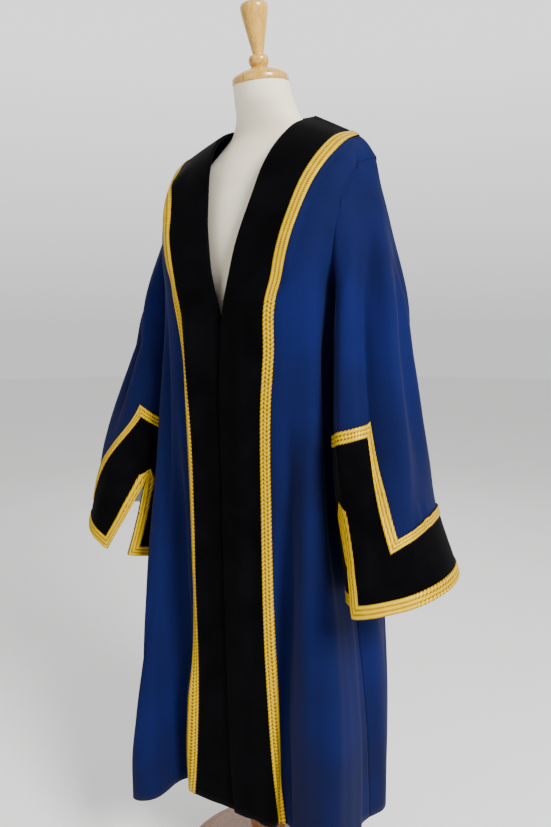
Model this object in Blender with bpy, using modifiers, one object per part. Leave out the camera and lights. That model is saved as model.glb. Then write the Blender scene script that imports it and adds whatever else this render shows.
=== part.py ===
# Mayoral robe of blue cloth with velvet facings and gold braid, on a dress form with a turned stand.
# Metres, +Z up. The origin is on the floor under the stand's post, and the robe faces -Y.
# The wearer's left side is +X. Each cut piece of cloth is a thin wall on one grid of points.

import math
from collections import namedtuple

import bmesh
import bpy
import numpy as np
from mathutils import Matrix

# Driving dimensions of the cloth and its trimmings
CLOTH = 0.0014
VELVET = 0.0014
BRAID = 0.0016
LINING = 0.0010
GAP = 0.0003
SEAM_GAP = 0.0004
SHOULDER_GAP = 0.0010
ARMHOLE_GAP = 0.0012
SLEEVE_HEAD_LIFT = 0.0026
BRAID_WIDTH = 0.019
UNDERLAP = 0.009
UNDERLAP_START = 0.080
LAP_DEPTH = 0.0062
LAP_FADE = 0.050

# Heights and points that the cut is drawn through
HEM_HEIGHT = 0.215
UNDERARM_HEIGHT = 1.172
NECK_POINT = (0.083, 0.0425, 1.494)
SHOULDER_TIP = (0.206, 0.020, 1.412)
UNDERARM = (0.154, 0.0, UNDERARM_HEIGHT)

# Plan of the hanging cloth at each height: how far it stands forward, sideways and back of the
# post, and how far each corner bulges out past the side, where the sleeves press in
Section = namedtuple("Section", "height front side back left_corner right_corner back_corner")
TRUNK = [
    Section(HEM_HEIGHT, 0.124, 0.226, 0.150, 0.020, 0.010, 0.030),
    Section(0.400, 0.128, 0.216, 0.150, 0.034, 0.040, 0.050),
    Section(0.600, 0.132, 0.192, 0.148, 0.036, 0.080, 0.070),
    Section(0.800, 0.136, 0.167, 0.145, 0.034, 0.092, 0.050),
    Section(0.950, 0.141, 0.155, 0.142, 0.040, 0.082, 0.040),
    Section(1.080, 0.147, 0.149, 0.138, 0.034, 0.064, 0.034),
    Section(UNDERARM_HEIGHT, 0.150, 0.154, 0.135, 0.036, 0.044, 0.030),
]

# Folds that grow down to the hem: place along the row from the centre to the side seam (0 to 1),
# how far the cloth swings out there at the hem, its half width along the row, and where it starts
Fold = namedtuple("Fold", "place swing width top")
LEFT_FRONT_FOLDS = [
    Fold(0.38, -0.034, 0.055, 0.95),
    Fold(0.64, 0.050, 0.110, 1.10),
    Fold(0.93, -0.018, 0.050, 0.80),
]
RIGHT_FRONT_FOLDS = [
    Fold(0.39, -0.034, 0.048, 1.20),
    Fold(0.53, 0.088, 0.075, 1.00),
    Fold(0.82, -0.012, 0.070, 0.80),
]
FRONT_FOLDS = {"left": LEFT_FRONT_FOLDS, "right": RIGHT_FRONT_FOLDS}
BACK_FOLDS = [
    Fold(0.00, 0.020, 0.110, 0.95),
    Fold(0.24, -0.022, 0.075, 1.00),
    Fold(0.47, 0.034, 0.090, 1.05),
    Fold(0.70, -0.020, 0.075, 0.90),
    Fold(0.88, 0.014, 0.060, 0.80),
]

# Velvet facing at each height: how far the left front's edge laps past the centre, and how wide
# the facing lies, braid included
Facing = namedtuple("Facing", "height lap width")
FACING = [
    Facing(HEM_HEIGHT, -0.005, 0.112),
    Facing(0.333, 0.002, 0.109),
    Facing(0.607, 0.006, 0.1005),
    Facing(0.900, 0.006, 0.0985),
    Facing(1.040, 0.006, 0.1030),
    Facing(1.090, 0.003, 0.1020),
    Facing(1.126, -0.004, 0.0980),
    Facing(UNDERARM_HEIGHT, -0.010, 0.0965),
    Facing(1.215, 0.0, 0.0950),
    Facing(1.262, 0.0, 0.0955),
    Facing(1.320, 0.0, 0.0960),
    Facing(1.400, 0.0, 0.0980),
    Facing(1.461, 0.0, 0.102),
    Facing(NECK_POINT[2], 0.0, 0.106),
]
COLLAR_WIDTH = FACING[-1].width

# Edge of the V neck from the underarm height up to the neck point
NeckEdge = namedtuple("NeckEdge", "out forward height")
V_EDGE = [
    NeckEdge(0.010, -0.1500, UNDERARM_HEIGHT),
    NeckEdge(0.0195, -0.1475, 1.215),
    NeckEdge(0.0300, -0.1410, 1.268),
    NeckEdge(0.042, -0.1270, 1.320),
    NeckEdge(0.0585, -0.0900, 1.400),
    NeckEdge(0.0735, -0.0330, 1.461),
    NeckEdge(*NECK_POINT),
]
FRONT_ARMHOLE = [
    NeckEdge(*UNDERARM),
    NeckEdge(0.176, -0.062, 1.203),
    NeckEdge(0.181, -0.081, 1.245),
    NeckEdge(0.183, -0.073, 1.298),
    NeckEdge(0.184, -0.044, 1.370),
    NeckEdge(0.194, -0.010, 1.402),
    NeckEdge(*SHOULDER_TIP),
]
BACK_ARMHOLE = [
    NeckEdge(*UNDERARM),
    NeckEdge(0.172, 0.058, 1.203),
    NeckEdge(0.178, 0.082, 1.250),
    NeckEdge(0.184, 0.082, 1.310),
    NeckEdge(0.190, 0.062, 1.370),
    NeckEdge(*SHOULDER_TIP),
]
SHOULDER_SEAM = [
    NeckEdge(*NECK_POINT),
    NeckEdge(0.132, 0.033, 1.4735),
    NeckEdge(0.180, 0.024, 1.4455),
    NeckEdge(*SHOULDER_TIP),
]
BACK_NECK = [
    NeckEdge(0.000, 0.0860, 1.5020),
    NeckEdge(0.036, 0.0810, 1.5010),
    NeckEdge(0.066, 0.0660, 1.4985),
    NeckEdge(*NECK_POINT),
]
CENTRE_BACK = [
    NeckEdge(0.000, 0.0860, 1.5020),
    NeckEdge(0.000, 0.1080, 1.4400),
    NeckEdge(0.000, 0.1310, 1.3500),
    NeckEdge(0.000, 0.1370, 1.2600),
    NeckEdge(0.000, 0.1350, UNDERARM_HEIGHT),
]

# Sleeve rings below the armhole. The slit angle and the cuff's peak angle are measured on the ring
# from its front point, in degrees, positive towards the outside of the arm
Ring = namedtuple("Ring", "height out forward half_width half_depth slit peak")
LEFT_SLEEVE = [
    Ring(1.100, 0.2190, -0.009, 0.060, 0.087, -40, 24),
    Ring(1.010, 0.2310, -0.015, 0.066, 0.098, -36, 27),
    Ring(0.893, 0.2490, -0.025, 0.075, 0.109, -29, 33),
    Ring(0.835, 0.2585, -0.028, 0.076, 0.109, -27, 37),
    Ring(0.700, 0.2930, -0.032, 0.087, 0.124, -24, 41),
    Ring(0.640, 0.3060, -0.032, 0.093, 0.130, -22, 41),
]
RIGHT_SLEEVE = [
    Ring(1.100, 0.2360, -0.009, 0.060, 0.088, -78, -40),
    Ring(0.980, 0.2610, -0.018, 0.071, 0.103, -68, -28),
    Ring(0.852, 0.2880, -0.027, 0.081, 0.110, -56, 24),
    Ring(0.767, 0.2965, -0.031, 0.083, 0.119, -43, 42),
    Ring(0.640, 0.3200, -0.034, 0.092, 0.136, -28, 47),
]
# Rows of each sleeve's grid: height at the ring's lowest angle, and how much higher the row is
# opposite. The lowest angle is on the inner side of the arm
Row = namedtuple("Row", "name height rise")
LEFT_ROWS = [
    Row("upper", 1.010, 0.045),
    Row("cuff top", 0.930, 0.080),
    Row("cuff top braid", 0.910, 0.080),
    Row("slit braid top", 0.836, 0.090),
    Row("slit top", 0.816, 0.090),
    Row("band top", 0.728, 0.100),
    Row("band braid", 0.712, 0.098),
    Row("band middle", 0.701, 0.070),
    Row("hem braid", 0.693, 0.041),
    Row("hem", 0.673, 0.041),
]
RIGHT_ROWS = [
    Row("upper", 1.030, 0.045),
    Row("cuff top", 0.942, 0.100),
    Row("cuff top braid", 0.922, 0.100),
    Row("slit braid top", 0.835, 0.090),
    Row("slit top", 0.816, 0.090),
    Row("band top", 0.746, 0.060),
    Row("band braid", 0.726, 0.060),
    Row("band middle", 0.701, 0.073),
    Row("hem braid", 0.677, 0.084),
    Row("hem", 0.657, 0.084),
]
ROW_NAMES = [row.name for row in LEFT_ROWS]
Sleeve = namedtuple("Sleeve", "side rings rows lowest opening")
SLEEVES = [
    Sleeve("left", LEFT_SLEEVE, LEFT_ROWS, math.radians(-75), 0.006),
    Sleeve("right", RIGHT_SLEEVE, RIGHT_ROWS, math.radians(-100), 0.046),
]
SLEEVE_HEAD_ROWS = 6

# Dress form: plan at each height, smooth and plain, with the neck leaning forward
FormSection = namedtuple("FormSection", "height half_width front back lean")
DRESS_FORM = [
    FormSection(0.740, 0.138, 0.098, 0.092, 0.0),
    FormSection(0.820, 0.141, 0.102, 0.096, 0.0),
    FormSection(0.960, 0.120, 0.096, 0.084, 0.0),
    FormSection(1.080, 0.125, 0.110, 0.092, 0.0),
    FormSection(1.180, 0.131, 0.122, 0.096, 0.0),
    FormSection(1.270, 0.136, 0.116, 0.088, 0.0),
    FormSection(1.340, 0.140, 0.096, 0.078, 0.0),
    FormSection(1.400, 0.142, 0.064, 0.064, 0.0),
    FormSection(1.430, 0.129, 0.044, 0.058, 0.0),
    FormSection(1.455, 0.105, 0.032, 0.055, 0.0),
    FormSection(1.475, 0.080, 0.032, 0.054, 0.0),
    FormSection(1.500, 0.062, 0.044, 0.050, 0.0),
    FormSection(1.525, 0.054, 0.058, 0.038, 0.5),
    FormSection(1.553, 0.049, 0.069, 0.026, 1.0),
]
FORM_COLUMNS = 28
FORM_SQUARENESS = 2.1
NECK_LEAN = math.radians(10.0)

# Turned wood: outline as radius and height, from the top down
Turn = namedtuple("Turn", "radius height")
CAP_OUTLINE = [
    Turn(0.0000, 0.0260), Turn(0.0180, 0.0255), Turn(0.0270, 0.0235), Turn(0.0380, 0.0190),
    Turn(0.0465, 0.0140), Turn(0.0508, 0.0090), Turn(0.0510, 0.0030), Turn(0.0495, 0.0000),
    Turn(0.0000, 0.0000),
]
FINIAL_OUTLINE = [
    Turn(0.0000, 0.1040), Turn(0.0110, 0.1034), Turn(0.0200, 0.1014), Turn(0.0238, 0.0976),
    Turn(0.0244, 0.0920), Turn(0.0225, 0.0800), Turn(0.0180, 0.0590), Turn(0.0135, 0.0385),
    Turn(0.0105, 0.0255), Turn(0.0100, 0.0210), Turn(0.0150, 0.0195), Turn(0.0180, 0.0150),
    Turn(0.0180, 0.0090), Turn(0.0160, 0.0030), Turn(0.0130, 0.0000), Turn(0.0000, 0.0000),
]
BASE_THICKNESS = 0.028
POST_LENGTH = DRESS_FORM[0].height - BASE_THICKNESS - 2 * GAP
POST_OUTLINE = [
    Turn(0.0000, POST_LENGTH), Turn(0.0180, POST_LENGTH), Turn(0.0180, 0.2150), Turn(0.0210, 0.2040),
    Turn(0.0290, 0.1850), Turn(0.0365, 0.1550), Turn(0.0390, 0.1150), Turn(0.0370, 0.0800),
    Turn(0.0290, 0.0500), Turn(0.0260, 0.0380), Turn(0.0320, 0.0240), Turn(0.0420, 0.0120),
    Turn(0.0430, 0.0000), Turn(0.0000, 0.0000),
]
BASE_OUTLINE = [
    Turn(0.0000, BASE_THICKNESS), Turn(0.1550, BASE_THICKNESS), Turn(0.1720, 0.0260),
    Turn(0.1820, 0.0200),
    Turn(0.1850, 0.0120), Turn(0.1850, 0.0020), Turn(0.1830, 0.0000), Turn(0.0000, 0.0000),
]
TURN_STEPS = 24

# How finely the cloth is laid out
ROW_SAMPLES = 48
FACING_CELLS = 4
LOWER_ROWS = 11
UPPER_ROWS = 9
FRONT_REST_COLUMNS = 11
BACK_LOWER_COLUMNS = 10
BACK_ARMHOLE_COLUMNS = 6
BACK_REST_RINGS = 4

Paint = namedtuple("Paint", "colour roughness metallic")
PAINTS = {
    "blue_cloth": Paint((0.006, 0.018, 0.110), 0.75, 0.0),
    "black_velvet": Paint((0.003, 0.003, 0.004), 0.95, 0.0),
    "gold_braid": Paint((0.720, 0.430, 0.060), 0.45, 0.3),
    "grey_lining": Paint((0.420, 0.430, 0.440), 0.55, 0.0),
    "form_cover": Paint((0.760, 0.740, 0.690), 0.80, 0.0),
    "beech": Paint((0.600, 0.370, 0.140), 0.30, 0.0),
    "stained_wood": Paint((0.180, 0.080, 0.030), 0.40, 0.0),
}


def clear_scene():
    for old in list(bpy.data.objects):
        bpy.data.objects.remove(old, do_unlink=True)


def collection_named(name):
    group = bpy.data.collections.new(name)
    bpy.context.scene.collection.children.link(group)
    return group


def material_named(name):
    """The sub-part's own material, from the paint table."""
    paint = PAINTS[name]
    material = bpy.data.materials.new(name)
    material.use_nodes = True
    shader = material.node_tree.nodes["Principled BSDF"]
    shader.inputs["Base Color"].default_value = (*paint.colour, 1.0)
    shader.inputs["Roughness"].default_value = paint.roughness
    shader.inputs["Metallic"].default_value = paint.metallic
    return material


def add_object(group, name, bm, paint):
    mesh = bpy.data.meshes.new(name)
    bm.to_mesh(mesh)
    bm.free()
    mesh.shade_smooth()
    mesh.set_sharp_from_angle(angle=math.radians(40))
    made = bpy.data.objects.new(name, mesh)
    mesh.materials.append(material_named(paint))
    group.objects.link(made)
    return made


def smooth_table(table, key, at):
    """Every column of a table read on a smooth curve through its rows, at one value of a column."""
    rows = np.array(sorted([tuple(row) for row in table], key=lambda row: row[key]), float)
    stations = rows[:, key]
    at = min(max(at, stations[0]), stations[-1])
    k = min(int(np.searchsorted(stations, at, side="right")) - 1, len(rows) - 2)
    return catmull_rom(rows, k, (at - stations[k]) / (stations[k + 1] - stations[k]))


def catmull_rom(points, k, t):
    """Point between points k and k + 1 of a list, on the curve that passes through all of them."""
    last = len(points) - 1
    before = points[k - 1] if k > 0 else 2 * points[k] - points[k + 1]
    after = points[k + 2] if k + 2 <= last else 2 * points[last] - points[last - 1]
    start, end = points[k], points[k + 1]
    return 0.5 * (2 * start + (end - before) * t + (2 * before - 5 * start + 4 * end - after) * t * t
                  + (3 * start - before - 3 * end + after) * t * t * t)


def curve_through(points, samples):
    """Evenly spaced points along the smooth curve through a short list of points."""
    points = np.array([tuple(p) for p in points], float)
    dense = [catmull_rom(points, k, t) for k in range(len(points) - 1)
             for t in np.linspace(0, 1, ROW_SAMPLES, endpoint=False)]
    return spaced(np.array(dense + [points[-1]]), np.linspace(0, 1, samples))


def lengths_along(line):
    steps = np.linalg.norm(np.diff(line, axis=0), axis=1)
    return np.concatenate([[0], np.cumsum(steps)])


def spaced(line, fractions):
    """Points at given fractions of a polyline's length."""
    along = lengths_along(line)
    wanted = np.asarray(fractions) * along[-1]
    return np.stack([np.interp(wanted, along, line[:, axis]) for axis in range(3)], axis=1)


def bezier(start, pull_start, pull_end, end, samples):
    t = np.linspace(0, 1, samples)[:, None]
    u = 1 - t
    return u**3 * start + 3 * u * u * t * pull_start + 3 * u * t * t * pull_end + t**3 * end


def smoothstep(value):
    value = min(max(value, 0.0), 1.0)
    return value * value * (3 - 2 * value)


def plan_row(height, part, folds):
    """One row of the hanging cloth from the centre to the side seam, with its folds."""
    section = Section(*smooth_table(TRUNK, 0, height))
    facing = 1 if part == "back" else -1
    reach = section.back if part == "back" else section.front
    side = section.side
    corner = getattr(section, part + "_corner")
    start = np.array([0.0, facing * reach, height])
    end = np.array([side, 0.0, height])
    line = bezier(start, start + (0.85 * side, 0, 0), end + (corner, facing * 0.85 * reach, 0), end,
                  ROW_SAMPLES)
    line = spaced(line, np.linspace(0, 1, ROW_SAMPLES))
    along = np.gradient(line, axis=0)
    outward = np.stack([-facing * along[:, 1], facing * along[:, 0], 0 * along[:, 0]], axis=1)
    outward /= np.linalg.norm(outward, axis=1)[:, None]
    place = np.linspace(0, 1, ROW_SAMPLES)
    swing = np.zeros(ROW_SAMPLES)
    for fold in folds:
        grown = smoothstep((fold.top - height) / (fold.top - HEM_HEIGHT))
        swing += fold.swing * grown * np.exp(-(((place - fold.place) / fold.width) ** 2))
    swing *= 1 - place**8
    return line + outward * swing[:, None]


def patch(low, high, left, right, across, up):
    """Point of the surface between four edges, each a list of points: the straight line between
    the left and right edges, bowed as the low and high edges are. The low edge's bow fades fast
    at first, because the armhole cuts forward there."""
    u, v = across / (len(low) - 1), up / (len(left) - 1)
    low_bow = low[across] - (1 - u) * low[0] - u * low[-1]
    high_bow = high[across] - (1 - u) * high[0] - u * high[-1]
    kept = 0.70 * (1 - v) + 0.30 * (1 - v) ** 12
    return (1 - u) * left[up] + u * right[up] + kept * low_bow + v * high_bow


def relaxed(grid, first_column, rounds):
    """Grid whose inner points from one column on are eased towards their neighbours' middle."""
    for _ in range(rounds):
        middle = 0.25 * (grid[:-2, 1:-1] + grid[2:, 1:-1] + grid[1:-1, :-2] + grid[1:-1, 2:])
        grid[1:-1, first_column:-1] = middle[:, first_column - 1:]
    return grid


def front_columns(line):
    """Columns of a front row: the braid and facing at their widths, then the rest shared evenly."""
    total = lengths_along(line)[-1]
    width = smooth_table(FACING, 0, line[0][2])[2]
    bare = width - BRAID_WIDTH
    band = [0.0, bare / 3, 2 * bare / 3, bare, width]
    rest = np.linspace(width, total - SEAM_GAP, FRONT_REST_COLUMNS + 1)[1:]
    return spaced(line, np.concatenate([band, rest]) / total)


def lapped_row(height, side, underlap, depth):
    """Row whose front edge laps the centre, set back by depth where it lies under the other front."""
    line = plan_row(height, side, FRONT_FOLDS[side])
    lap = smooth_table(FACING, 0, height)[1]
    lap += underlap * smoothstep((UNDERARM_HEIGHT - height) / UNDERLAP_START)
    if lap >= 0:
        line = np.concatenate([[line[0] - (lap, 0, 0)], line])
    else:
        line = np.concatenate([[line[0] - (lap, 0, 0)], line[line[:, 0] > -lap]])
    line[:, 1] += depth * np.clip(1 - (line[:, 0] - UNDERLAP) / LAP_FADE, 0, 1)
    return line


def front_panel(side, underlap, depth):
    """Grid of a front for the +X side, hem row first, front edge column first."""
    rows = []
    for height in np.linspace(HEM_HEIGHT, UNDERARM_HEIGHT, LOWER_ROWS + 1)[:-1]:
        rows.append(front_columns(lapped_row(height, side, underlap, depth)))
    low = lapped_row(UNDERARM_HEIGHT, side, underlap, depth)
    low = spaced(low, np.linspace(0, 1, ROW_SAMPLES))
    high = curve_through(SHOULDER_SEAM, ROW_SAMPLES)
    left = curve_through([low[0], *V_EDGE[1:]], UPPER_ROWS + 1)
    right = curve_through(FRONT_ARMHOLE, UPPER_ROWS + 1)
    for up in range(UPPER_ROWS + 1):
        line = np.array([patch(low, high, left, right, k, up) for k in range(ROW_SAMPLES)])
        rows.append(front_columns(line))
    rows[-1] -= np.array([0, SHOULDER_GAP, 0])
    rows = np.array(rows)
    upper = rows[LOWER_ROWS:]
    rows[LOWER_ROWS:] = relaxed(upper, FACING_CELLS + 1, 3)
    return rows


def back_grids():
    """Lower and upper grid of half the back, for the +X side. The upper one runs in rings round
    the neck, so that the collar keeps its width, and shares the lower one's top row."""
    lower = []
    for height in np.linspace(HEM_HEIGHT, UNDERARM_HEIGHT, LOWER_ROWS + 1):
        line = plan_row(height, "back", BACK_FOLDS)
        total = lengths_along(line)[-1]
        columns = np.linspace(0, total - SEAM_GAP, BACK_LOWER_COLUMNS + 1) / total
        lower.append(spaced(line, columns))
    arm = curve_through(BACK_ARMHOLE, BACK_ARMHOLE_COLUMNS + 1)[1:]
    outer = np.concatenate([lower[-1], arm])
    share = lengths_along(outer) / lengths_along(outer)[-1]
    inner = spaced(curve_through(BACK_NECK, ROW_SAMPLES), share)
    seam = curve_through(SHOULDER_SEAM, ROW_SAMPLES)
    centre = curve_through(CENTRE_BACK, ROW_SAMPLES)
    rings = []
    for column in range(len(outer)):
        u = share[column]
        ring = [(1 - v) * inner[column] + v * outer[column]
                + (1 - u) * (centre[k] - (1 - v) * centre[0] - v * centre[-1])
                + u * (seam[k] - (1 - v) * seam[0] - v * seam[-1])
                for k, v in enumerate(np.linspace(0, 1, ROW_SAMPLES))]
        rings.append(ring)
    whole = np.array(rings)
    whole = relaxed(np.concatenate([mirrored(whole[:0:-1]), whole]), 1, 14)
    upper = []
    for ring in whole[len(outer) - 1:]:
        total = lengths_along(ring)[-1]
        bare = COLLAR_WIDTH - BRAID_WIDTH
        steps = [0.0, bare / 2, bare, COLLAR_WIDTH]
        steps += list(np.linspace(COLLAR_WIDTH, total, BACK_REST_RINGS + 1)[1:])
        upper.append(spaced(ring, np.array(steps) / total))
    upper = np.array(upper)
    upper[-1] += np.array([0, SHOULDER_GAP, 0])
    return np.array(lower), upper


def sleeve_ring(table, height, angle):
    """Point of the sleeve at a height and an angle from the ring's front point."""
    _, out, forward, half_width, half_depth, _, _ = smooth_table(table, 0, height)
    return np.array([out + half_width * math.sin(angle), forward - half_depth * math.cos(angle), height])


def column_angles(table, height, opening):
    """Angles of a ring's columns, from one edge of the slit round the arm to its other edge."""
    ring = Ring(*smooth_table(table, 0, height))
    radius = math.sqrt(ring.half_width * ring.half_depth)
    slit, peak = math.radians(ring.slit), math.radians(ring.peak)
    half_gap = 0.5 * opening / radius
    braid = BRAID_WIDTH / radius
    reach = peak - slit
    near = [half_gap, half_gap + braid]
    near += list(np.linspace(near[-1], reach - braid, 4)[1:]) + [reach]
    far = list(np.linspace(reach, math.pi, 5)[1:])
    half = near + far
    whole = half + [2 * math.pi - angle for angle in reversed(half[:-1])]
    return [slit + angle for angle in whole], slit


PEAK_COLUMN = 5
OPPOSITE_COLUMN = 9
LAST_COLUMN = 2 * OPPOSITE_COLUMN


def row_height(row, turned_by):
    return row.height + row.rise * 0.5 * (1 - math.cos(turned_by))


def sleeve_grid(sleeve):
    """Grid of a sleeve for the +X side: rows from the armhole down, columns round from the slit."""
    head_rings = sleeve.rings[0]
    angles, _ = column_angles(sleeve.rings, head_rings.height, 0.0)
    head = [head_meridian(angle, sleeve_ring(sleeve.rings, head_rings.height, angle)) for angle in angles]
    rows = list(np.array(head).transpose(1, 0, 2))
    slit_top = sleeve.rows[ROW_NAMES.index("slit top")].height
    hem = sleeve.rows[ROW_NAMES.index("hem")].height
    for row in sleeve.rows:
        gap = sleeve.opening * max(0.0, (slit_top - row.height) / (slit_top - hem))
        angles, _ = column_angles(sleeve.rings, row.height + 0.25 * row.rise, gap)
        line = []
        for column, angle in enumerate(angles):
            height = row_height(row, angle - sleeve.lowest)
            angle = column_angles(sleeve.rings, height, gap)[0][column]
            height = row_height(row, angle - sleeve.lowest)
            line.append(sleeve_ring(sleeve.rings, height, angle))
        rows.append(np.array(line))
    return np.array(rows)


def armhole_point(angle):
    """Point of the armhole facing an angle of the sleeve: its tip is outward, its foot inward."""
    front = curve_through(FRONT_ARMHOLE, ROW_SAMPLES)
    back = curve_through(BACK_ARMHOLE, ROW_SAMPLES)
    turn = (angle + math.pi / 2) % (2 * math.pi)
    if turn <= math.pi:
        return spaced(front, [turn / math.pi])[0]
    return spaced(back, [2 - turn / math.pi])[0]


def head_meridian(angle, end):
    """Line of the sleeve head from the armhole down to the first full ring."""
    start = armhole_point(angle)
    crown = max(0.0, math.sin(angle)) ** 1.5
    leave = np.array([0.16 + 0.18 * crown, -0.10 * math.cos(angle), -1.0])
    leave /= np.linalg.norm(leave)
    proud = SLEEVE_HEAD_LIFT * min(max(math.sin(angle) + 1.35, 0.0), 1.0)
    start = start + leave * ARMHOLE_GAP + np.array([SEAM_GAP + proud, 0, 0])
    span = np.linalg.norm(end - start)
    line = bezier(start, start + leave * span * 0.36, end + np.array([-0.12, 0, 1]) * span * 0.36, end,
                  ROW_SAMPLES)
    return spaced(line, np.linspace(0, 1, SLEEVE_HEAD_ROWS + 1))


class Cloth:
    """Welded grid cells of one cut piece, each cell with a tag, and the outward normal at each point."""

    def __init__(self):
        self.points = []
        self.index = {}
        self.cells = []

    def point(self, place):
        key = tuple(np.round(place, 6))
        if key not in self.index:
            self.index[key] = len(self.points)
            self.points.append(np.array(place, float))
        return self.index[key]

    def add_grid(self, grid, tag, flip):
        for row in range(len(grid) - 1):
            for column in range(len(grid[0]) - 1):
                corners = [grid[row][column], grid[row][column + 1],
                           grid[row + 1][column + 1], grid[row + 1][column]]
                if flip:
                    corners.reverse()
                cell = [self.point(corner) for corner in corners]
                self.cells.append((cell, (tag, row, column)))

    def normals(self):
        total = np.zeros((len(self.points), 3))
        places = np.array(self.points)
        for cell, _ in self.cells:
            a, b, c, d = places[cell]
            total[cell] += np.cross(c - a, d - b)
        return total / np.linalg.norm(total, axis=1)[:, None]

    def triangles(self, cell):
        """A cell cut along its shorter diagonal, the same way in every piece laid on the cloth."""
        a, b, c, d = cell
        places = self.points
        if np.linalg.norm(places[a] - places[c]) <= np.linalg.norm(places[b] - places[d]):
            return (a, b, c), (a, c, d)
        return (a, b, d), (b, c, d)

    def piece(self, group, name, paint, lift, thick, chosen=None):
        """A wall on the chosen cells, moved out by lift: a positive thickness grows outwards."""
        normals = self.normals()
        bm = bmesh.new()
        made = {}
        for cell, tag in self.cells:
            if chosen and not chosen(*tag):
                continue
            for k in cell:
                if k not in made:
                    made[k] = bm.verts.new(self.points[k] + normals[k] * lift)
            for triangle in self.triangles(cell):
                bm.faces.new([made[k] for k in triangle])
        bm.normal_update()
        made = add_object(group, name, bm, paint)
        wall = made.modifiers.new("wall", "SOLIDIFY")
        wall.thickness = abs(thick)
        wall.offset = 1.0 if thick > 0 else -1.0
        wall.use_even_offset = False
        return made


def mirrored(grid):
    return np.array(grid) * np.array([-1.0, 1.0, 1.0])


def is_facing(tag, row, column):
    return column < FACING_CELLS


def is_facing_braid(tag, row, column):
    return column == FACING_CELLS - 1


def is_collar(tag, row, column):
    return tag.startswith("upper") and column < 3


def is_collar_braid(tag, row, column):
    return tag.startswith("upper") and column == 2


def make_fronts(group):
    """Blue fronts with a velvet facing down each edge and braid along the facing's outer side."""
    for side, underlap, depth in (("left", 0.0, 0.0), ("right", UNDERLAP, LAP_DEPTH)):
        grid = front_panel(side, underlap, depth)
        cloth = Cloth()
        cloth.add_grid(grid if side == "left" else mirrored(grid), "front", side == "right")
        cloth.piece(group, f"front_{side}", "blue_cloth", 0.0, -CLOTH)
        cloth.piece(group, f"facing_{side}", "black_velvet", GAP, VELVET, is_facing)
        cloth.piece(group, f"braid_facing_{side}", "gold_braid", 2 * GAP + VELVET, BRAID, is_facing_braid)


def make_back(group):
    """Back in one piece from side seam to side seam, with the velvet collar round the neck."""
    lower, upper = back_grids()
    cloth = Cloth()
    cloth.add_grid(lower, "lower_left", True)
    cloth.add_grid(mirrored(lower), "lower_right", False)
    cloth.add_grid(upper, "upper_left", True)
    cloth.add_grid(mirrored(upper), "upper_right", False)
    cloth.piece(group, "back_panel", "blue_cloth", 0.0, -CLOTH)
    cloth.piece(group, "collar_back", "black_velvet", GAP, VELVET, is_collar)
    cloth.piece(group, "braid_collar_back", "gold_braid", 2 * GAP + VELVET, BRAID, is_collar_braid)


def sleeve_row(name):
    return SLEEVE_HEAD_ROWS + 1 + ROW_NAMES.index(name)


def near_slit(column):
    return column < PEAK_COLUMN or column >= LAST_COLUMN - PEAK_COLUMN


def is_cuff(tag, row, column):
    top = sleeve_row("cuff top") if near_slit(column) else sleeve_row("band top")
    return row >= top


def is_cuff_braid(tag, row, column):
    if near_slit(column):
        if row == sleeve_row("cuff top"):
            return True
        edge = column in (PEAK_COLUMN - 1, LAST_COLUMN - PEAK_COLUMN)
        return edge and sleeve_row("cuff top") <= row <= sleeve_row("band top")
    return row == sleeve_row("band top")


def is_hem_braid(tag, row, column):
    beside_slit = column in (0, LAST_COLUMN - 1) and row >= sleeve_row("slit braid top")
    return row == sleeve_row("hem braid") or beside_slit


def is_lining(tag, row, column):
    return row >= sleeve_row("cuff top")


def make_sleeves(group):
    """Sleeves with deep velvet cuffs, stepped down at two peaks and slit at the front."""
    for sleeve in SLEEVES:
        side = sleeve.side
        grid = sleeve_grid(sleeve)
        cloth = Cloth()
        cloth.add_grid(grid if side == "left" else mirrored(grid), "sleeve", side == "left")
        cloth.piece(group, f"sleeve_{side}", "blue_cloth", 0.0, -CLOTH)
        cloth.piece(group, f"cuff_{side}", "black_velvet", GAP, VELVET, is_cuff)
        cloth.piece(group, f"braid_cuff_top_{side}", "gold_braid", 2 * GAP + VELVET, BRAID, is_cuff_braid)
        cloth.piece(group, f"braid_cuff_hem_{side}", "gold_braid", 2 * GAP + VELVET, BRAID, is_hem_braid)
        cloth.piece(group, f"lining_{side}", "grey_lining", -CLOTH - GAP, -LINING, is_lining)


def make_form(group):
    """Dress form: one smooth closed body lofted through its sections, capped flat at both ends."""
    bm = bmesh.new()
    rings = []
    lean = math.tan(NECK_LEAN)
    for section in DRESS_FORM:
        ring = []
        centre = 0.5 * (section.back - section.front)
        depth = 0.5 * (section.back + section.front)
        for k in range(FORM_COLUMNS):
            angle = 2 * math.pi * k / FORM_COLUMNS
            across, along = math.cos(angle), math.sin(angle)
            x = section.half_width * math.copysign(abs(across) ** (2 / FORM_SQUARENESS), across)
            y = depth * math.copysign(abs(along) ** (2 / FORM_SQUARENESS), along)
            ring.append(bm.verts.new((x, centre + y, section.height + section.lean * lean * y)))
        rings.append(ring)
    for low, high in zip(rings, rings[1:]):
        for k in range(FORM_COLUMNS):
            following = (k + 1) % FORM_COLUMNS
            bm.faces.new((low[k], low[following], high[following], high[k]))
    bm.faces.new(list(reversed(rings[0])))
    bm.faces.new(rings[-1])
    add_object(group, "form_torso", bm, "form_cover")


def turned(group, name, outline, paint):
    """A turned piece: its outline spun about Z by a Screw modifier, top of the outline first."""
    bm = bmesh.new()
    verts = [bm.verts.new((turn.radius, 0, turn.height)) for turn in outline]
    for first, second in zip(verts, verts[1:]):
        bm.edges.new((first, second))
    made = add_object(group, name, bm, paint)
    spin = made.modifiers.new("turn", "SCREW")
    spin.steps = TURN_STEPS
    spin.render_steps = TURN_STEPS
    spin.use_merge_vertices = True
    spin.merge_threshold = 0.0001
    return made


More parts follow.
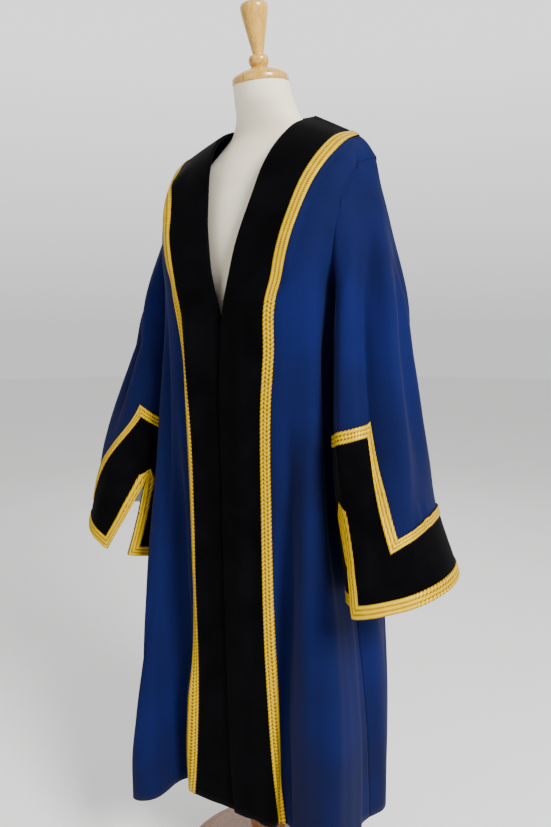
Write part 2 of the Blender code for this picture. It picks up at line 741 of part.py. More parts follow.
def make_stand(group):
    """Turned wooden cap and finial on the leaning neck, and the post on its round base."""
    top = DRESS_FORM[-1]
    tilt = Matrix.Rotation(NECK_LEAN, 4, "X")
    seat = Matrix.Translation((0, 0.5 * (top.back - top.front), top.height)) @ tilt
    cap = turned(group, "neck_cap", CAP_OUTLINE, "beech")
    cap.matrix_world = seat @ Matrix.Translation((0, 0, GAP))
    finial = turned(group, "finial", FINIAL_OUTLINE, "beech")
    finial.matrix_world = seat @ Matrix.Translation((0, 0, CAP_OUTLINE[0].height + 2 * GAP))
    post = turned(group, "stand_post", POST_OUTLINE, "stained_wood")
    post.location = (0, 0, BASE_THICKNESS + GAP)
    turned(group, "stand_base", BASE_OUTLINE, "stained_wood")


clear_scene()
robe = collection_named("mayoral_robe")
make_fronts(robe)
make_back(robe)
make_sleeves(robe)
make_form(robe)
make_stand(robe)
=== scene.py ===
# Mayoral robe of blue wool cloth with black velvet facings and gold braid, hanging on an off-white
# dress form with a turned wooden stand. Metres, +Z up, the robe faces -Y, the wearer's left is +X.

import math
from collections import namedtuple

import bmesh
import bpy
import numpy as np
from mathutils import Matrix, Vector


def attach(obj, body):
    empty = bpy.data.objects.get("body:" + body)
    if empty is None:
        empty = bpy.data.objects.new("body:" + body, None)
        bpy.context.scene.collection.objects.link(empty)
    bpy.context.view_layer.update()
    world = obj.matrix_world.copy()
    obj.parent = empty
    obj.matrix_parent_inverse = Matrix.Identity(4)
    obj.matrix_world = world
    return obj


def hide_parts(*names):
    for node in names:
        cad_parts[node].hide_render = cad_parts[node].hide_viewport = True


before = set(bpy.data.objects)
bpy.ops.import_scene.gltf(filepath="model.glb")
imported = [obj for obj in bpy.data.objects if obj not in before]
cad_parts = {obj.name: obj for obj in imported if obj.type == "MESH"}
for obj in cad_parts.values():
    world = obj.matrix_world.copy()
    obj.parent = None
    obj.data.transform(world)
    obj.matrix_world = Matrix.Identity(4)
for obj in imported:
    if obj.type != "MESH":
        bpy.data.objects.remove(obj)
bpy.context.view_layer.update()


# Stand base and post
# Darker hardwood, turned on a lathe, stained and given a satin varnish. The post stands in the
# middle of the round base, swells under the robe's hem and runs up plain into the dress form.
Turn = namedtuple("Turn", "radius height")


def listed(kind, rows):
    return [kind(*row) for row in rows]


BASE_THICKNESS = 0.028
POST_FOOT = BASE_THICKNESS + 0.0003
POST_TOP = 0.7397
BASE_OUTLINE = listed(Turn, [
    (0.0000, 0.0280), (0.0800, 0.0280), (0.1500, 0.0278), (0.1640, 0.0270),
    (0.1710, 0.0250), (0.1735, 0.0225), (0.1790, 0.0215), (0.1830, 0.0180),
    (0.1848, 0.0120), (0.1845, 0.0050), (0.1830, 0.0010), (0.1800, 0.0000),
    (0.0000, 0.0000),
])
POST_OUTLINE = listed(Turn, [
    (0.0000, POST_TOP), (0.0176, POST_TOP), (0.0180, 0.7380), (0.0180, 0.2500),
    (0.0182, 0.2400), (0.0230, 0.2360), (0.0230, 0.2310), (0.0215, 0.2270),
    (0.0250, 0.2200), (0.0300, 0.2060), (0.0355, 0.1860), (0.0385, 0.1620),
    (0.0390, 0.1400), (0.0375, 0.1180), (0.0330, 0.0960), (0.0285, 0.0800),
    (0.0262, 0.0700), (0.0262, 0.0660), (0.0310, 0.0625), (0.0320, 0.0590),
    (0.0310, 0.0550), (0.0330, 0.0480), (0.0400, 0.0380), (0.0428, 0.0330),
    (0.0430, POST_FOOT), (0.0000, POST_FOOT),
])


def linear(hex_colour):
    """An sRGB hex colour as the linear red, green, blue and alpha that a socket takes."""
    parts = [int(hex_colour[k:k + 2], 16) / 255 for k in (1, 3, 5)]
    return (*[c / 12.92 if c <= 0.04045 else ((c + 0.055) / 1.055) ** 2.4 for c in parts], 1.0)


def add_node(tree, kind, settings=(), output=0):
    """Adds a node with its properties, colour stops and sockets, where another node's output is
    linked in, and gives back one of its own outputs."""
    made = tree.nodes.new("ShaderNode" + kind)
    for key, value in dict(settings).items():
        if key == "stops":
            while len(made.color_ramp.elements) < len(value):
                made.color_ramp.elements.new(0.5)
            for element, (place, colour) in zip(made.color_ramp.elements, value):
                element.position = place
                element.color = linear(colour)
        elif isinstance(value, bpy.types.NodeSocket):
            tree.links.new(value, made.inputs[key])
        elif isinstance(key, str) and hasattr(made, key):
            setattr(made, key, value)
        else:
            made.inputs[key].default_value = value
    return made.outputs[output]


def finish_material(name, patterns, **sockets):
    """A material whose Principled sockets are set here. patterns adds its nodes and gives back the
    colour and, where there is a bump, its height, strength and depth."""
    material = bpy.data.materials.new(name)
    material.use_nodes = True
    tree = material.node_tree
    shader = tree.nodes["Principled BSDF"]
    for key, value in sockets.items():
        shader.inputs[key.replace("_", " ")].default_value = value
    colour, *relief = patterns(tree)
    tree.links.new(colour, shader.inputs["Base Color"])
    if relief:
        height, strength, depth = relief
        bump = add_node(tree, "Bump", {"Strength": strength, "Distance": depth, "Height": height})
        tree.links.new(bump, shader.inputs["Normal"])
    return material


def turned_wood(base_hex, dark_hex, grain_width):
    """Turned hardwood: grain runs up the piece, closed by varnish, so only colour shows it, with
    fine lathe rings as a faint bump."""
    def patterns(tree):
        place = add_node(tree, "TexCoord", output="Object")
        drawn = add_node(tree, "Mapping", {"Scale": (1.0, 1.0, 0.06), "Vector": place})
        grain = add_node(tree, "TexNoise", {"Scale": 1 / grain_width, "Detail": 4.0, "Roughness": 0.6,
                                            "Distortion": 0.6, "Vector": drawn}, "Fac")
        flecks = add_node(tree, "TexNoise", {"Scale": 2.5 / grain_width, "Detail": 2.0,
                                             "Vector": drawn}, "Fac")
        faint = add_node(tree, "Math", {"operation": "MULTIPLY", 0: flecks, 1: 0.3})
        mixed = add_node(tree, "Math", {"operation": "MULTIPLY_ADD", 0: grain, 1: 0.7, 2: faint})
        stops = [(0.34, dark_hex), (0.52, base_hex), (0.70, base_hex)]
        rings = add_node(tree, "TexWave", {"wave_type": "BANDS", "bands_direction": "Z", "Scale": 120.0,
                                           "Distortion": 1.5, "Vector": place}, "Fac")
        return add_node(tree, "ValToRGB", {"stops": stops, 0: mixed}), rings, 0.06, 0.0003
    return patterns


def show(name, bm, material, stands_for=(), smooth_angle=40):
    """Links a finished bmesh as a piece riding on the root body in place of its CAD nodes."""
    bm.normal_update()
    mesh = bpy.data.meshes.new(name)
    bm.to_mesh(mesh)
    bm.free()
    mesh.shade_smooth()
    mesh.set_sharp_from_angle(angle=math.radians(smooth_angle))
    piece = bpy.data.objects.new(name, mesh)
    piece.data.materials.append(material)
    bpy.context.scene.collection.objects.link(piece)
    if stands_for:
        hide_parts(*stands_for)
    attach(piece, "root")
    return piece


def between(start, end, pull_start, pull_end, t):
    """Point at the share t of a curve that leaves start and reaches end with the given pulls."""
    return ((2 * t**3 - 3 * t * t + 1) * start + (t**3 - 2 * t * t + t) * pull_start
            + (3 * t * t - 2 * t**3) * end + (t**3 - t * t) * pull_end)


def held_back(pull, reach):
    """The pull, shortened to reach where it is longer."""
    size = np.linalg.norm(pull, axis=-1, keepdims=True)
    return pull * np.minimum(1.0, reach / np.maximum(size, 1e-9))


def smooth_outline(outline, steps):
    """The outline with rounded runs between its points, corners kept where they turn sharply."""
    points = np.array([tuple(turn) for turn in outline])
    dense = [points[0]]
    for k, (start, end) in enumerate(zip(points, points[1:])):
        leaves = 0.5 * (end - points[k - 1]) if k > 0 else end - start
        arrives = 0.5 * (points[k + 2] - start) if k + 2 < len(points) else end - start
        reach = np.linalg.norm(end - start)
        dense += [between(start, end, held_back(leaves, reach), held_back(arrives, reach), t)
                  for t in np.linspace(0, 1, steps + 1)[1:]]
    return np.array(dense)


def turned(outline, seat=Matrix.Identity(4), steps=4, around=96):
    """An outline spun about Z and welded shut, then set on its seat."""
    bm = bmesh.new()
    verts = [bm.verts.new((max(r, 0.0), 0, z)) for r, z in smooth_outline(outline, steps)]
    edges = [bm.edges.new(pair) for pair in zip(verts, verts[1:])]
    bmesh.ops.spin(bm, geom=verts + edges, cent=(0, 0, 0), axis=(0, 0, 1), dvec=(0, 0, 0),
                   angle=2 * math.pi, steps=around, use_merge=True, use_duplicate=False)
    bmesh.ops.remove_doubles(bm, verts=bm.verts, dist=0.00002)
    bmesh.ops.recalc_face_normals(bm, faces=bm.faces)
    bm.transform(seat)
    return bm


stained_wood = finish_material("stained hardwood", turned_wood("#875426", "#4A2A10", 0.006),
                               Roughness=0.45, Coat_Weight=0.15, Coat_Roughness=0.25)
show("turned_base", turned(BASE_OUTLINE), stained_wood, ["stand_base"])
show("turned_post", turned(POST_OUTLINE), stained_wood, ["stand_post"])


# Dress form
# A limbless torso, padded and covered with off-white jersey that is stretched smooth over it.
# It is cut off flat below and its neck leans forward under the wooden cap.
FormSection = namedtuple("FormSection", "height half_width front back lean")
DRESS_FORM = listed(FormSection, [
    (0.740, 0.138, 0.098, 0.092, 0.0),
    (0.820, 0.141, 0.102, 0.096, 0.0),
    (0.960, 0.120, 0.096, 0.084, 0.0),
    (1.080, 0.125, 0.110, 0.092, 0.0),
    (1.180, 0.131, 0.122, 0.096, 0.0),
    (1.270, 0.136, 0.116, 0.088, 0.0),
    (1.340, 0.140, 0.096, 0.078, 0.0),
    (1.400, 0.142, 0.064, 0.064, 0.0),
    (1.430, 0.129, 0.044, 0.058, 0.0),
    (1.455, 0.105, 0.032, 0.055, 0.0),
    (1.475, 0.080, 0.032, 0.054, 0.0),
    (1.500, 0.062, 0.044, 0.050, 0.0),
    (1.525, 0.054, 0.058, 0.038, 0.5),
    (1.553, 0.049, 0.069, 0.026, 1.0),
])
FORM_AROUND = 112
FORM_SQUARENESS = 2.1
FORM_STEPS = 6
NECK_LEAN = math.radians(10.0)
STITCH_PITCH = 0.0014


def smooth_table(table, at):
    """Every column of a table, read on a smooth curve through its rows, at one height."""
    rows = np.array(sorted([tuple(row) for row in table]), float)
    stations = rows[:, 0]
    at = np.clip(at, stations[0], stations[-1])
    k = min(int(np.searchsorted(stations, at, side="right")) - 1, len(rows) - 2)
    return through(rows, k, (at - stations[k]) / (stations[k + 1] - stations[k]))


def through(points, k, t):
    """Point between points k and k + 1 of a list, on the curve that passes through all of them."""
    last = len(points) - 1
    before = points[k - 1] if k > 0 else 2 * points[k] - points[k + 1]
    after = points[k + 2] if k + 2 <= last else 2 * points[last] - points[last - 1]
    start, end = points[k], points[k + 1]
    return 0.5 * (2 * start + (end - before) * t + (2 * before - 5 * start + 4 * end - after) * t * t
                  + (3 * start - before - 3 * end + after) * t * t * t)


def form_surface():
    """Smooth closed torso: rings of the table's plans, joined one to the next and capped."""
    bm = bmesh.new()
    loops = []
    heights = [low.height + (high.height - low.height) * k / FORM_STEPS
               for low, high in zip(DRESS_FORM, DRESS_FORM[1:]) for k in range(FORM_STEPS)]
    for height in heights + [DRESS_FORM[-1].height]:
        section = FormSection(*smooth_table(DRESS_FORM, height))
        made = bmesh.ops.create_circle(bm, segments=FORM_AROUND, radius=1.0, cap_ends=False)
        centre, depth = 0.5 * (section.back - section.front), 0.5 * (section.back + section.front)
        for vert in made["verts"]:
            across, along = vert.co.x, vert.co.y
            y = depth * math.copysign(abs(along) ** (2 / FORM_SQUARENESS), along)
            vert.co = (section.half_width * math.copysign(abs(across) ** (2 / FORM_SQUARENESS), across),
                       centre + y, section.height + section.lean * math.tan(NECK_LEAN) * y)
        loops.append(list({edge for vert in made["verts"] for edge in vert.link_edges}))
    for low, high in zip(loops, loops[1:]):
        bmesh.ops.bridge_loops(bm, edges=low + high)
    for rim in (loops[0], loops[-1]):
        bmesh.ops.edgeloop_fill(bm, edges=rim)
    bmesh.ops.recalc_face_normals(bm, faces=bm.faces)
    return bm


def jersey(tree):
    """Cotton jersey stretched over padding: knit stitches 1.4 mm apart, soft smudges of handling."""
    place = add_node(tree, "TexCoord", output="Object")
    smudge = add_node(tree, "TexNoise", {"Scale": 9.0, "Detail": 3.0, "Vector": place}, "Fac")
    stitches = add_node(tree, "TexVoronoi", {"Scale": 1 / STITCH_PITCH, "Randomness": 0.35,
                                             "Vector": place}, "Distance")
    stops = [(0.35, "#F2E6CA"), (0.65, "#F8EED8")]
    return add_node(tree, "ValToRGB", {"stops": stops, 0: smudge}), stitches, 0.12, 0.0003


form_cover = finish_material("cotton jersey", jersey, Roughness=0.82, Sheen_Weight=0.12)
show("jersey_form", form_surface(), form_cover, ["form_torso"])


# Neck cap and finial
# Beech, turned and varnished bright. The cap is a shallow dome on the form's cut neck; the finial
# is a bead under a tapered handle with a slightly domed top. Both lean forward with the neck.
CAP_HEIGHT = 0.0260
CAP_OUTLINE = listed(Turn, [
    (0.0000, 0.0260), (0.0180, 0.0255), (0.0270, 0.0235), (0.0380, 0.0190),
    (0.0465, 0.0140), (0.0502, 0.0098), (0.0510, 0.0060), (0.0508, 0.0020),
    (0.0495, 0.0000), (0.0000, 0.0000),
])
FINIAL_OUTLINE = listed(Turn, [
    (0.0000, 0.1040), (0.0110, 0.1034), (0.0200, 0.1014), (0.0238, 0.0976),
    (0.0244, 0.0920), (0.0225, 0.0800), (0.0180, 0.0590), (0.0135, 0.0385),
    (0.0105, 0.0255), (0.0098, 0.0212), (0.0120, 0.0204), (0.0165, 0.0180),
    (0.0182, 0.0125), (0.0168, 0.0060), (0.0140, 0.0018), (0.0130, 0.0000),
    (0.0000, 0.0000),
])
SEAT_GAP = 0.0003
neck_top = DRESS_FORM[-1]
neck_middle = (0, 0.5 * (neck_top.back - neck_top.front), neck_top.height + SEAT_GAP)
neck_seat = Matrix.Translation(neck_middle) @ Matrix.Rotation(NECK_LEAN, 4, "X")
beech = finish_material("varnished beech", turned_wood("#CC9E3E", "#A07422", 0.004),
                        Roughness=0.30, Coat_Weight=0.6, Coat_Roughness=0.12)
cap_seat = neck_seat @ Matrix.Translation((0, 0, CAP_HEIGHT + SEAT_GAP))
show("turned_cap", turned(CAP_OUTLINE, neck_seat), beech, ["neck_cap"])
show("turned_finial", turned(FINIAL_OUTLINE, cap_seat), beech, ["finial"])


# Fronts of the robe
# Wool-blend cloth, plain woven and dyed deep blue, cut flared from shoulder to hem. The left front
# laps over the right. Each hangs from the shoulder seam in broad folds that grow towards the hem.
CLOTH = 0.0014
SOFT_ANGLE = 180
GAP = 0.0003
SEAM_GAP = 0.0004
SHOULDER_GAP = 0.0002
BRAID_WIDTH = 0.019
UNDERLAP = 0.009
UNDERLAP_START = 0.080
LAP_DEPTH = 0.0062
LAP_FADE = 0.050
HEM_HEIGHT = 0.215
UNDERARM_HEIGHT = 1.172
NECK_POINT = (0.077, 0.0400, 1.502)
SHOULDER_TIP = (0.206, 0.020, 1.412)
UNDERARM = (0.154, 0.0, UNDERARM_HEIGHT)
Section = namedtuple("Section", "height front side back left_corner right_corner back_corner")
TRUNK = listed(Section, [
    (HEM_HEIGHT, 0.124, 0.226, 0.150, 0.020, 0.010, 0.030),
    (0.400, 0.128, 0.216, 0.150, 0.034, 0.040, 0.050),
    (0.600, 0.132, 0.192, 0.148, 0.036, 0.080, 0.070),
    (0.800, 0.136, 0.167, 0.145, 0.034, 0.092, 0.050),
    (0.950, 0.141, 0.155, 0.142, 0.040, 0.082, 0.040),
    (1.080, 0.147, 0.149, 0.138, 0.034, 0.064, 0.034),
    (UNDERARM_HEIGHT, 0.150, 0.154, 0.135, 0.036, 0.044, 0.030),
])
Fold = namedtuple("Fold", "place swing width top")
FRONT_FOLDS = {
    "left": [Fold(0.38, -0.034, 0.055, 0.95), Fold(0.64, 0.050, 0.110, 1.10),
             Fold(0.93, -0.018, 0.050, 0.80)],
    "right": [Fold(0.39, -0.034, 0.048, 1.20), Fold(0.53, 0.088, 0.075, 1.00),
              Fold(0.82, -0.012, 0.070, 0.80)],
}
Facing = namedtuple("Facing", "height lap width")
FACING = listed(Facing, [
    (HEM_HEIGHT, -0.005, 0.112),
    (0.333, 0.002, 0.109),
    (0.607, 0.006, 0.1005),
    (0.900, 0.006, 0.0985),
    (1.040, 0.006, 0.1030),
    (1.090, -0.001, 0.1020),
    (1.126, -0.0075, 0.0980),
    (UNDERARM_HEIGHT, -0.0105, 0.0965),
    (1.215, 0.0, 0.0950),
    (1.262, 0.0, 0.0955),
    (1.320, 0.0, 0.0960),
    (1.400, 0.0, 0.0980),
    (1.461, 0.0, 0.102),
    (NECK_POINT[2], 0.0, 0.106),
])
Edge = namedtuple("Edge", "out forward height")
V_EDGE = listed(Edge, [
    (0.010, -0.1500, UNDERARM_HEIGHT),
    (0.0195, -0.1475, 1.215),
    (0.0300, -0.1410, 1.268),
    (0.042, -0.1270, 1.320),
    (0.0585, -0.0900, 1.400),
    (0.0735, -0.0330, 1.461),
    NECK_POINT,
])
FRONT_ARMHOLE = listed(Edge, [
    UNDERARM,
    (0.176, -0.062, 1.203),
    (0.181, -0.081, 1.245),
    (0.183, -0.073, 1.298),
    (0.184, -0.044, 1.370),
    (0.194, -0.010, 1.402),
    SHOULDER_TIP,
])
SHOULDER_SEAM = listed(Edge, [
    NECK_POINT,
    (0.132, 0.033, 1.4735),
    (0.180, 0.024, 1.4455),
    SHOULDER_TIP,
])
ROW_SAMPLES = 48
ROUNDED = 0.85
FACING_CELLS = 4
LOWER_ROWS = 11
UPPER_ROWS = 9
FRONT_REST_COLUMNS = 11
FINE = 6
FRONT_EASING = 3
OVERSHOOT = 1.6
CREASE_FADE = 0.35

# Creases over the whole hanging cloth: azimuth from the front in degrees, positive to the wearer's
# left, at the crease's top and bottom; how far it stands out (troughs are negative), half width
Crease = namedtuple("Crease", "top bottom start end depth width")
BODY_CREASES = listed(Crease, [
    (1.30, 0.36, 15, 11, 0.0045, 0.012), (1.24, 0.55, -9, -6, 0.0035, 0.009),
    (1.20, 0.50, -20, -22, -0.0030, 0.012), (1.05, 0.20, 24, 22, -0.0040, 0.013),
    (1.30, 0.62, 57, 55, 0.0110, 0.020), (1.05, 0.20, 44, 43, -0.0130, 0.011),
    (1.00, 0.20, 53, 51, 0.0110, 0.011), (1.25, 0.60, 70, 68, -0.0130, 0.017),
    (0.86, 0.20, 68, 64, -0.0040, 0.020), (0.76, 0.20, 80, 76, 0.0040, 0.018),
    (1.42, 1.26, -62, -38, 0.0080, 0.012), (1.32, 1.14, -43.5, -29, 0.0080, 0.012),
    (1.30, 0.40, -25, -26, 0.0130, 0.014), (1.26, 0.40, -33, -34, -0.0080, 0.012),
    (0.52, 0.20, -40, -43, 0.0150, 0.014), (1.24, 0.66, -51, -50, -0.0100, 0.011),
    (0.98, 0.20, -47, -48, -0.0120, 0.016), (1.26, 0.30, -57, -58, 0.0090, 0.014),
    (0.96, 0.20, -70, -66, -0.0110, 0.018), (0.80, 0.20, -82, -78, 0.0050, 0.018),
    (1.424, 1.345, 86, 81, -0.0045, 0.007), (1.418, 1.350, -84, -80, -0.0036, 0.007),
    (1.36, 0.26, 166, 171, 0.0100, 0.020), (1.33, 0.40, 150, 153, -0.0130, 0.018),
    (1.24, 0.20, 129, 132, 0.0120, 0.021), (1.12, 0.45, 110, 107, -0.0090, 0.016),
    (1.34, 0.34, -172, -168, -0.0110, 0.018), (1.30, 0.20, -149, -153, 0.0130, 0.021),
    (1.18, 0.38, -129, -126, -0.0130, 0.017), (0.98, 0.20, -106, -110, 0.0100, 0.020),
])


def curve_through(points, samples):
    """Evenly spaced points along the smooth curve through a short list of points."""
    points = np.array([tuple(p) for p in points], float)
    dense = [through(points, k, t) for k in range(len(points) - 1)
             for t in np.linspace(0, 1, ROW_SAMPLES, endpoint=False)]
    return spaced(np.array(dense + [points[-1]]), np.linspace(0, 1, samples))


def lengths_along(points, axis=0):
    """Distances from the start of a line of points, or of every line of a grid in one direction."""
    steps = np.linalg.norm(np.diff(points, axis=axis), axis=-1)
    return np.insert(np.cumsum(steps, axis=axis), 0, 0.0, axis=axis)


def spaced(line, fractions):
    """Points at given fractions of a line's length."""
    along = lengths_along(line)
    wanted = np.asarray(fractions) * along[-1]
    return np.stack([np.interp(wanted, along, line[:, axis]) for axis in range(3)], axis=1)


def bezier(start, pull_start, pull_end, end, samples):
    t = np.linspace(0, 1, samples)[:, None]
    u = 1 - t
    return u**3 * start + 3 * u * u * t * pull_start + 3 * u * t * t * pull_end + t**3 * end


def smoothstep(value):
    value = np.clip(value, 0.0, 1.0)
    return value * value * (3 - 2 * value)


def plan_row(height, part, folds):
    """One row of the hanging cloth from the centre to the side seam, with its folds."""
    section = Section(*smooth_table(TRUNK, height))
    facing = 1 if part == "back" else -1
    reach = section.back if part == "back" else section.front
    side = section.side
    corner = getattr(section, part + "_corner")
    start = np.array([0.0, facing * reach, height])
    end = np.array([side, 0.0, height])
    line = bezier(start, start + (ROUNDED * side, 0, 0), end + (corner, facing * ROUNDED * reach, 0),
                  end, ROW_SAMPLES)
    line = spaced(line, np.linspace(0, 1, ROW_SAMPLES))
    along = np.gradient(line, axis=0)
    outward = np.stack([-facing * along[:, 1], facing * along[:, 0], 0 * along[:, 0]], axis=1)
    outward /= np.linalg.norm(outward, axis=1)[:, None]
    place = np.linspace(0, 1, ROW_SAMPLES)
    swing = np.zeros(ROW_SAMPLES)
    for fold in folds:
        grown = smoothstep((fold.top - height) / (fold.top - HEM_HEIGHT))
        swing += fold.swing * grown * np.exp(-(((place - fold.place) / fold.width) ** 2))
    swing *= 1 - place**8
    return line + outward * swing[:, None]


FAST_SHARE = 0.30
FAST_POWER = 12


def patch(low, high, left, right, across, up):
    """Point of the surface between four edges. The low edge's bow fades fast at first, because the
    armhole cuts forward there."""
    u, v = across / (len(low) - 1), up / (len(left) - 1)
    low_bow = low[across] - (1 - u) * low[0] - u * low[-1]
    high_bow = high[across] - (1 - u) * high[0] - u * high[-1]
    kept = (1 - FAST_SHARE) * (1 - v) + FAST_SHARE * (1 - v) ** FAST_POWER
    return (1 - u) * left[up] + u * right[up] + kept * low_bow + v * high_bow


def relaxed(grid, first_column, rounds):
    """Grid whose inner points from one column on are eased towards their neighbours' middle."""
    for _ in range(rounds):
        middle = 0.25 * (grid[:-2, 1:-1] + grid[2:, 1:-1] + grid[1:-1, :-2] + grid[1:-1, 2:])
        grid[1:-1, first_column:-1] = middle[:, first_column - 1:]
    return grid


def front_columns(line):
    """Columns of a front row: the braid and facing at their widths, then the rest shared evenly."""
    total = lengths_along(line)[-1]
    width = smooth_table(FACING, line[0][2])[2]
    bare = width - BRAID_WIDTH
    band = [0.0, bare / 3, 2 * bare / 3, bare, width]
    rest = np.linspace(width, total - SEAM_GAP, FRONT_REST_COLUMNS + 1)[1:]
    return spaced(line, np.concatenate([band, rest]) / total)


def lapped_row(height, side, underlap, depth):
    """Row whose front edge laps the centre, set back by depth where it lies under the other front."""
    line = plan_row(height, side, FRONT_FOLDS[side])
    lap = smooth_table(FACING, height)[1]
    lap += underlap * smoothstep((UNDERARM_HEIGHT - height) / UNDERLAP_START)
    if lap >= 0:
        line = np.concatenate([[line[0] - (lap, 0, 0)], line])
    else:
        line = np.concatenate([[line[0] - (lap, 0, 0)], line[line[:, 0] > -lap]])
    line[:, 1] += depth * np.clip(1 - (line[:, 0] - UNDERLAP) / LAP_FADE, 0, 1)
    return line


def front_panel(side, underlap, depth):
    """Grid of a front for the +X side, hem row first, front edge column first."""
    rows = []
    for height in np.linspace(HEM_HEIGHT, UNDERARM_HEIGHT, LOWER_ROWS + 1)[:-1]:
        rows.append(front_columns(lapped_row(height, side, underlap, depth)))
    low = lapped_row(UNDERARM_HEIGHT, side, underlap, depth)
    low = spaced(low, np.linspace(0, 1, ROW_SAMPLES))
    high = curve_through(SHOULDER_SEAM, ROW_SAMPLES)
    left = curve_through([low[0], *V_EDGE[1:]], UPPER_ROWS + 1)
    right = curve_through(FRONT_ARMHOLE, UPPER_ROWS + 1)
    for up in range(UPPER_ROWS + 1):
        line = np.array([patch(low, high, left, right, k, up) for k in range(ROW_SAMPLES)])
        rows.append(front_columns(line))
    rows[-1] -= np.array([0, SHOULDER_GAP, 0])
    rows = np.array(rows)
    rows[LOWER_ROWS:] = relaxed(rows[LOWER_ROWS:], FACING_CELLS + 1, FRONT_EASING)
    return rows


def refined(grid, fine, axis=0):
    """The grid with fine steps for each of its steps along one axis, on smooth curves through its
    own points, with slopes that allow for uneven spacing and never overshoot a short step."""
    grid = np.moveaxis(np.asarray(grid, float), axis, 0)
    gaps = np.diff(grid, axis=0)
    spacing = np.sqrt((gaps**2).reshape(len(gaps), -1, grid.shape[-1]).sum(axis=2)).mean(axis=1)
    spacing = np.maximum(spacing, 1e-6).reshape((-1,) + (1,) * (grid.ndim - 1))
    speed = gaps / spacing
    slope = np.empty_like(grid)
    slope[0], slope[-1] = speed[0], speed[-1]
    weight = spacing[1:] / (spacing[1:] + spacing[:-1])
    slope[1:-1] = weight * speed[:-1] + (1 - weight) * speed[1:]
    reach = OVERSHOOT * np.linalg.norm(gaps, axis=-1, keepdims=True)
    leaves, arrives = held_back(spacing * slope[:-1], reach), held_back(spacing * slope[1:], reach)
    steps = np.stack([between(grid[:-1], grid[1:], leaves, arrives, t)
                      for t in np.arange(1, fine + 1) / fine], axis=1)
    return np.moveaxis(np.concatenate([grid[:1], steps.reshape((-1,) + grid.shape[1:])]), 0, axis)


def crease_swing(points, creases, axis_at):
    """How far each point stands out or in along the cloth's normal for the creases."""
    height = points[..., 2]
    out = points[..., :2] - axis_at(height)
    radius = np.linalg.norm(out, axis=-1)
    azimuth = np.degrees(np.arctan2(out[..., 0], -out[..., 1]))
    swing = np.zeros(height.shape)
    for crease in creases:
        down = (crease.top - height) / (crease.top - crease.bottom)
        line = crease.start + (crease.end - crease.start) * np.clip(down, 0, 1)
        off = np.radians((azimuth - line + 180) % 360 - 180) * radius
        runs_out = 1.0 if crease.bottom <= HEM_HEIGHT else smoothstep((1 - down) / CREASE_FADE)
        swing += (crease.depth * smoothstep(down / CREASE_FADE) * runs_out
                  * np.exp(-((off / crease.width) ** 2)))
    return swing


def post_axis(height):
    return np.zeros(height.shape + (2,))


class Drape:
    """One cut piece as it hangs: fine points, outward normals and distances over its grid."""

    def __init__(self, coarse, fine, creases, axis_at, flip, joined_rows=0):
        self.fine = fine
        self.flip = flip
        self.points = refined(refined(coarse, fine, 0), fine, 1)
        self.joined = joined_rows * fine + 1 if joined_rows else 0
        self.settle()
        swing = crease_swing(self.points, creases, axis_at)
        self.points = self.points + self.normals * swing[..., None]
        self.settle()

    def settle(self):
        """Works out the outward normals and the distances along the cloth from its points."""
        normal = np.cross(np.gradient(self.points, axis=1), np.gradient(self.points, axis=0))
        if self.flip:
            normal = -normal
        normal /= np.maximum(np.linalg.norm(normal, axis=2)[..., None], 1e-12)
        if self.joined:
            rows = slice(0, self.joined)
            self.points[rows, 0] = self.points[rows, -1] = 0.5 * (self.points[rows, 0]
                                                                  + self.points[rows, -1])
            seam = normal[rows, 0] + normal[rows, -1]
            normal[rows, 0] = normal[rows, -1] = seam / np.linalg.norm(seam, axis=1)[:, None]
        self.normals = normal
        self.across, self.along = lengths_along(self.points, 1), lengths_along(self.points)
        if self.joined:
            self.along = self.along[-1:] - self.along

    def at(self, row, column, lift):
        """Point above the cloth at a place on the coarse grid."""
        r = min(max(row * self.fine, 0.0), len(self.points) - 1.000001)
        c = min(max(column * self.fine, 0.0), self.points.shape[1] - 1.000001)
        i, j = int(r), int(c)
        f, g = r - i, c - j
        corners = ((i, j, (1 - f) * (1 - g)), (i + 1, j, f * (1 - g)),
                   (i, j + 1, (1 - f) * g), (i + 1, j + 1, f * g))
        point = sum(w * self.points[a, b] for a, b, w in corners)
        normal = sum(w * self.normals[a, b] for a, b, w in corners)
        return point + normal / np.linalg.norm(normal) * lift


def laid_grid(rows, columns, lay):
    """A flat grid laid out: lay gives the place of each crossing and its metres along the cloth,
    which go into the UV map."""
    bm = bmesh.new()
    bmesh.ops.create_grid(bm, x_segments=columns, y_segments=rows, size=1.0)
    weave = bm.loops.layers.uv.new("weave")
    metres = {}
    for vert in bm.verts:
        vert.co, metres[vert.index] = lay(round((vert.co.y + 1) / 2 * rows),
                                          round((vert.co.x + 1) / 2 * columns))
    for face in bm.faces:
        for loop in face.loops:
            loop[weave].uv = metres[loop.vert.index]
    return bm


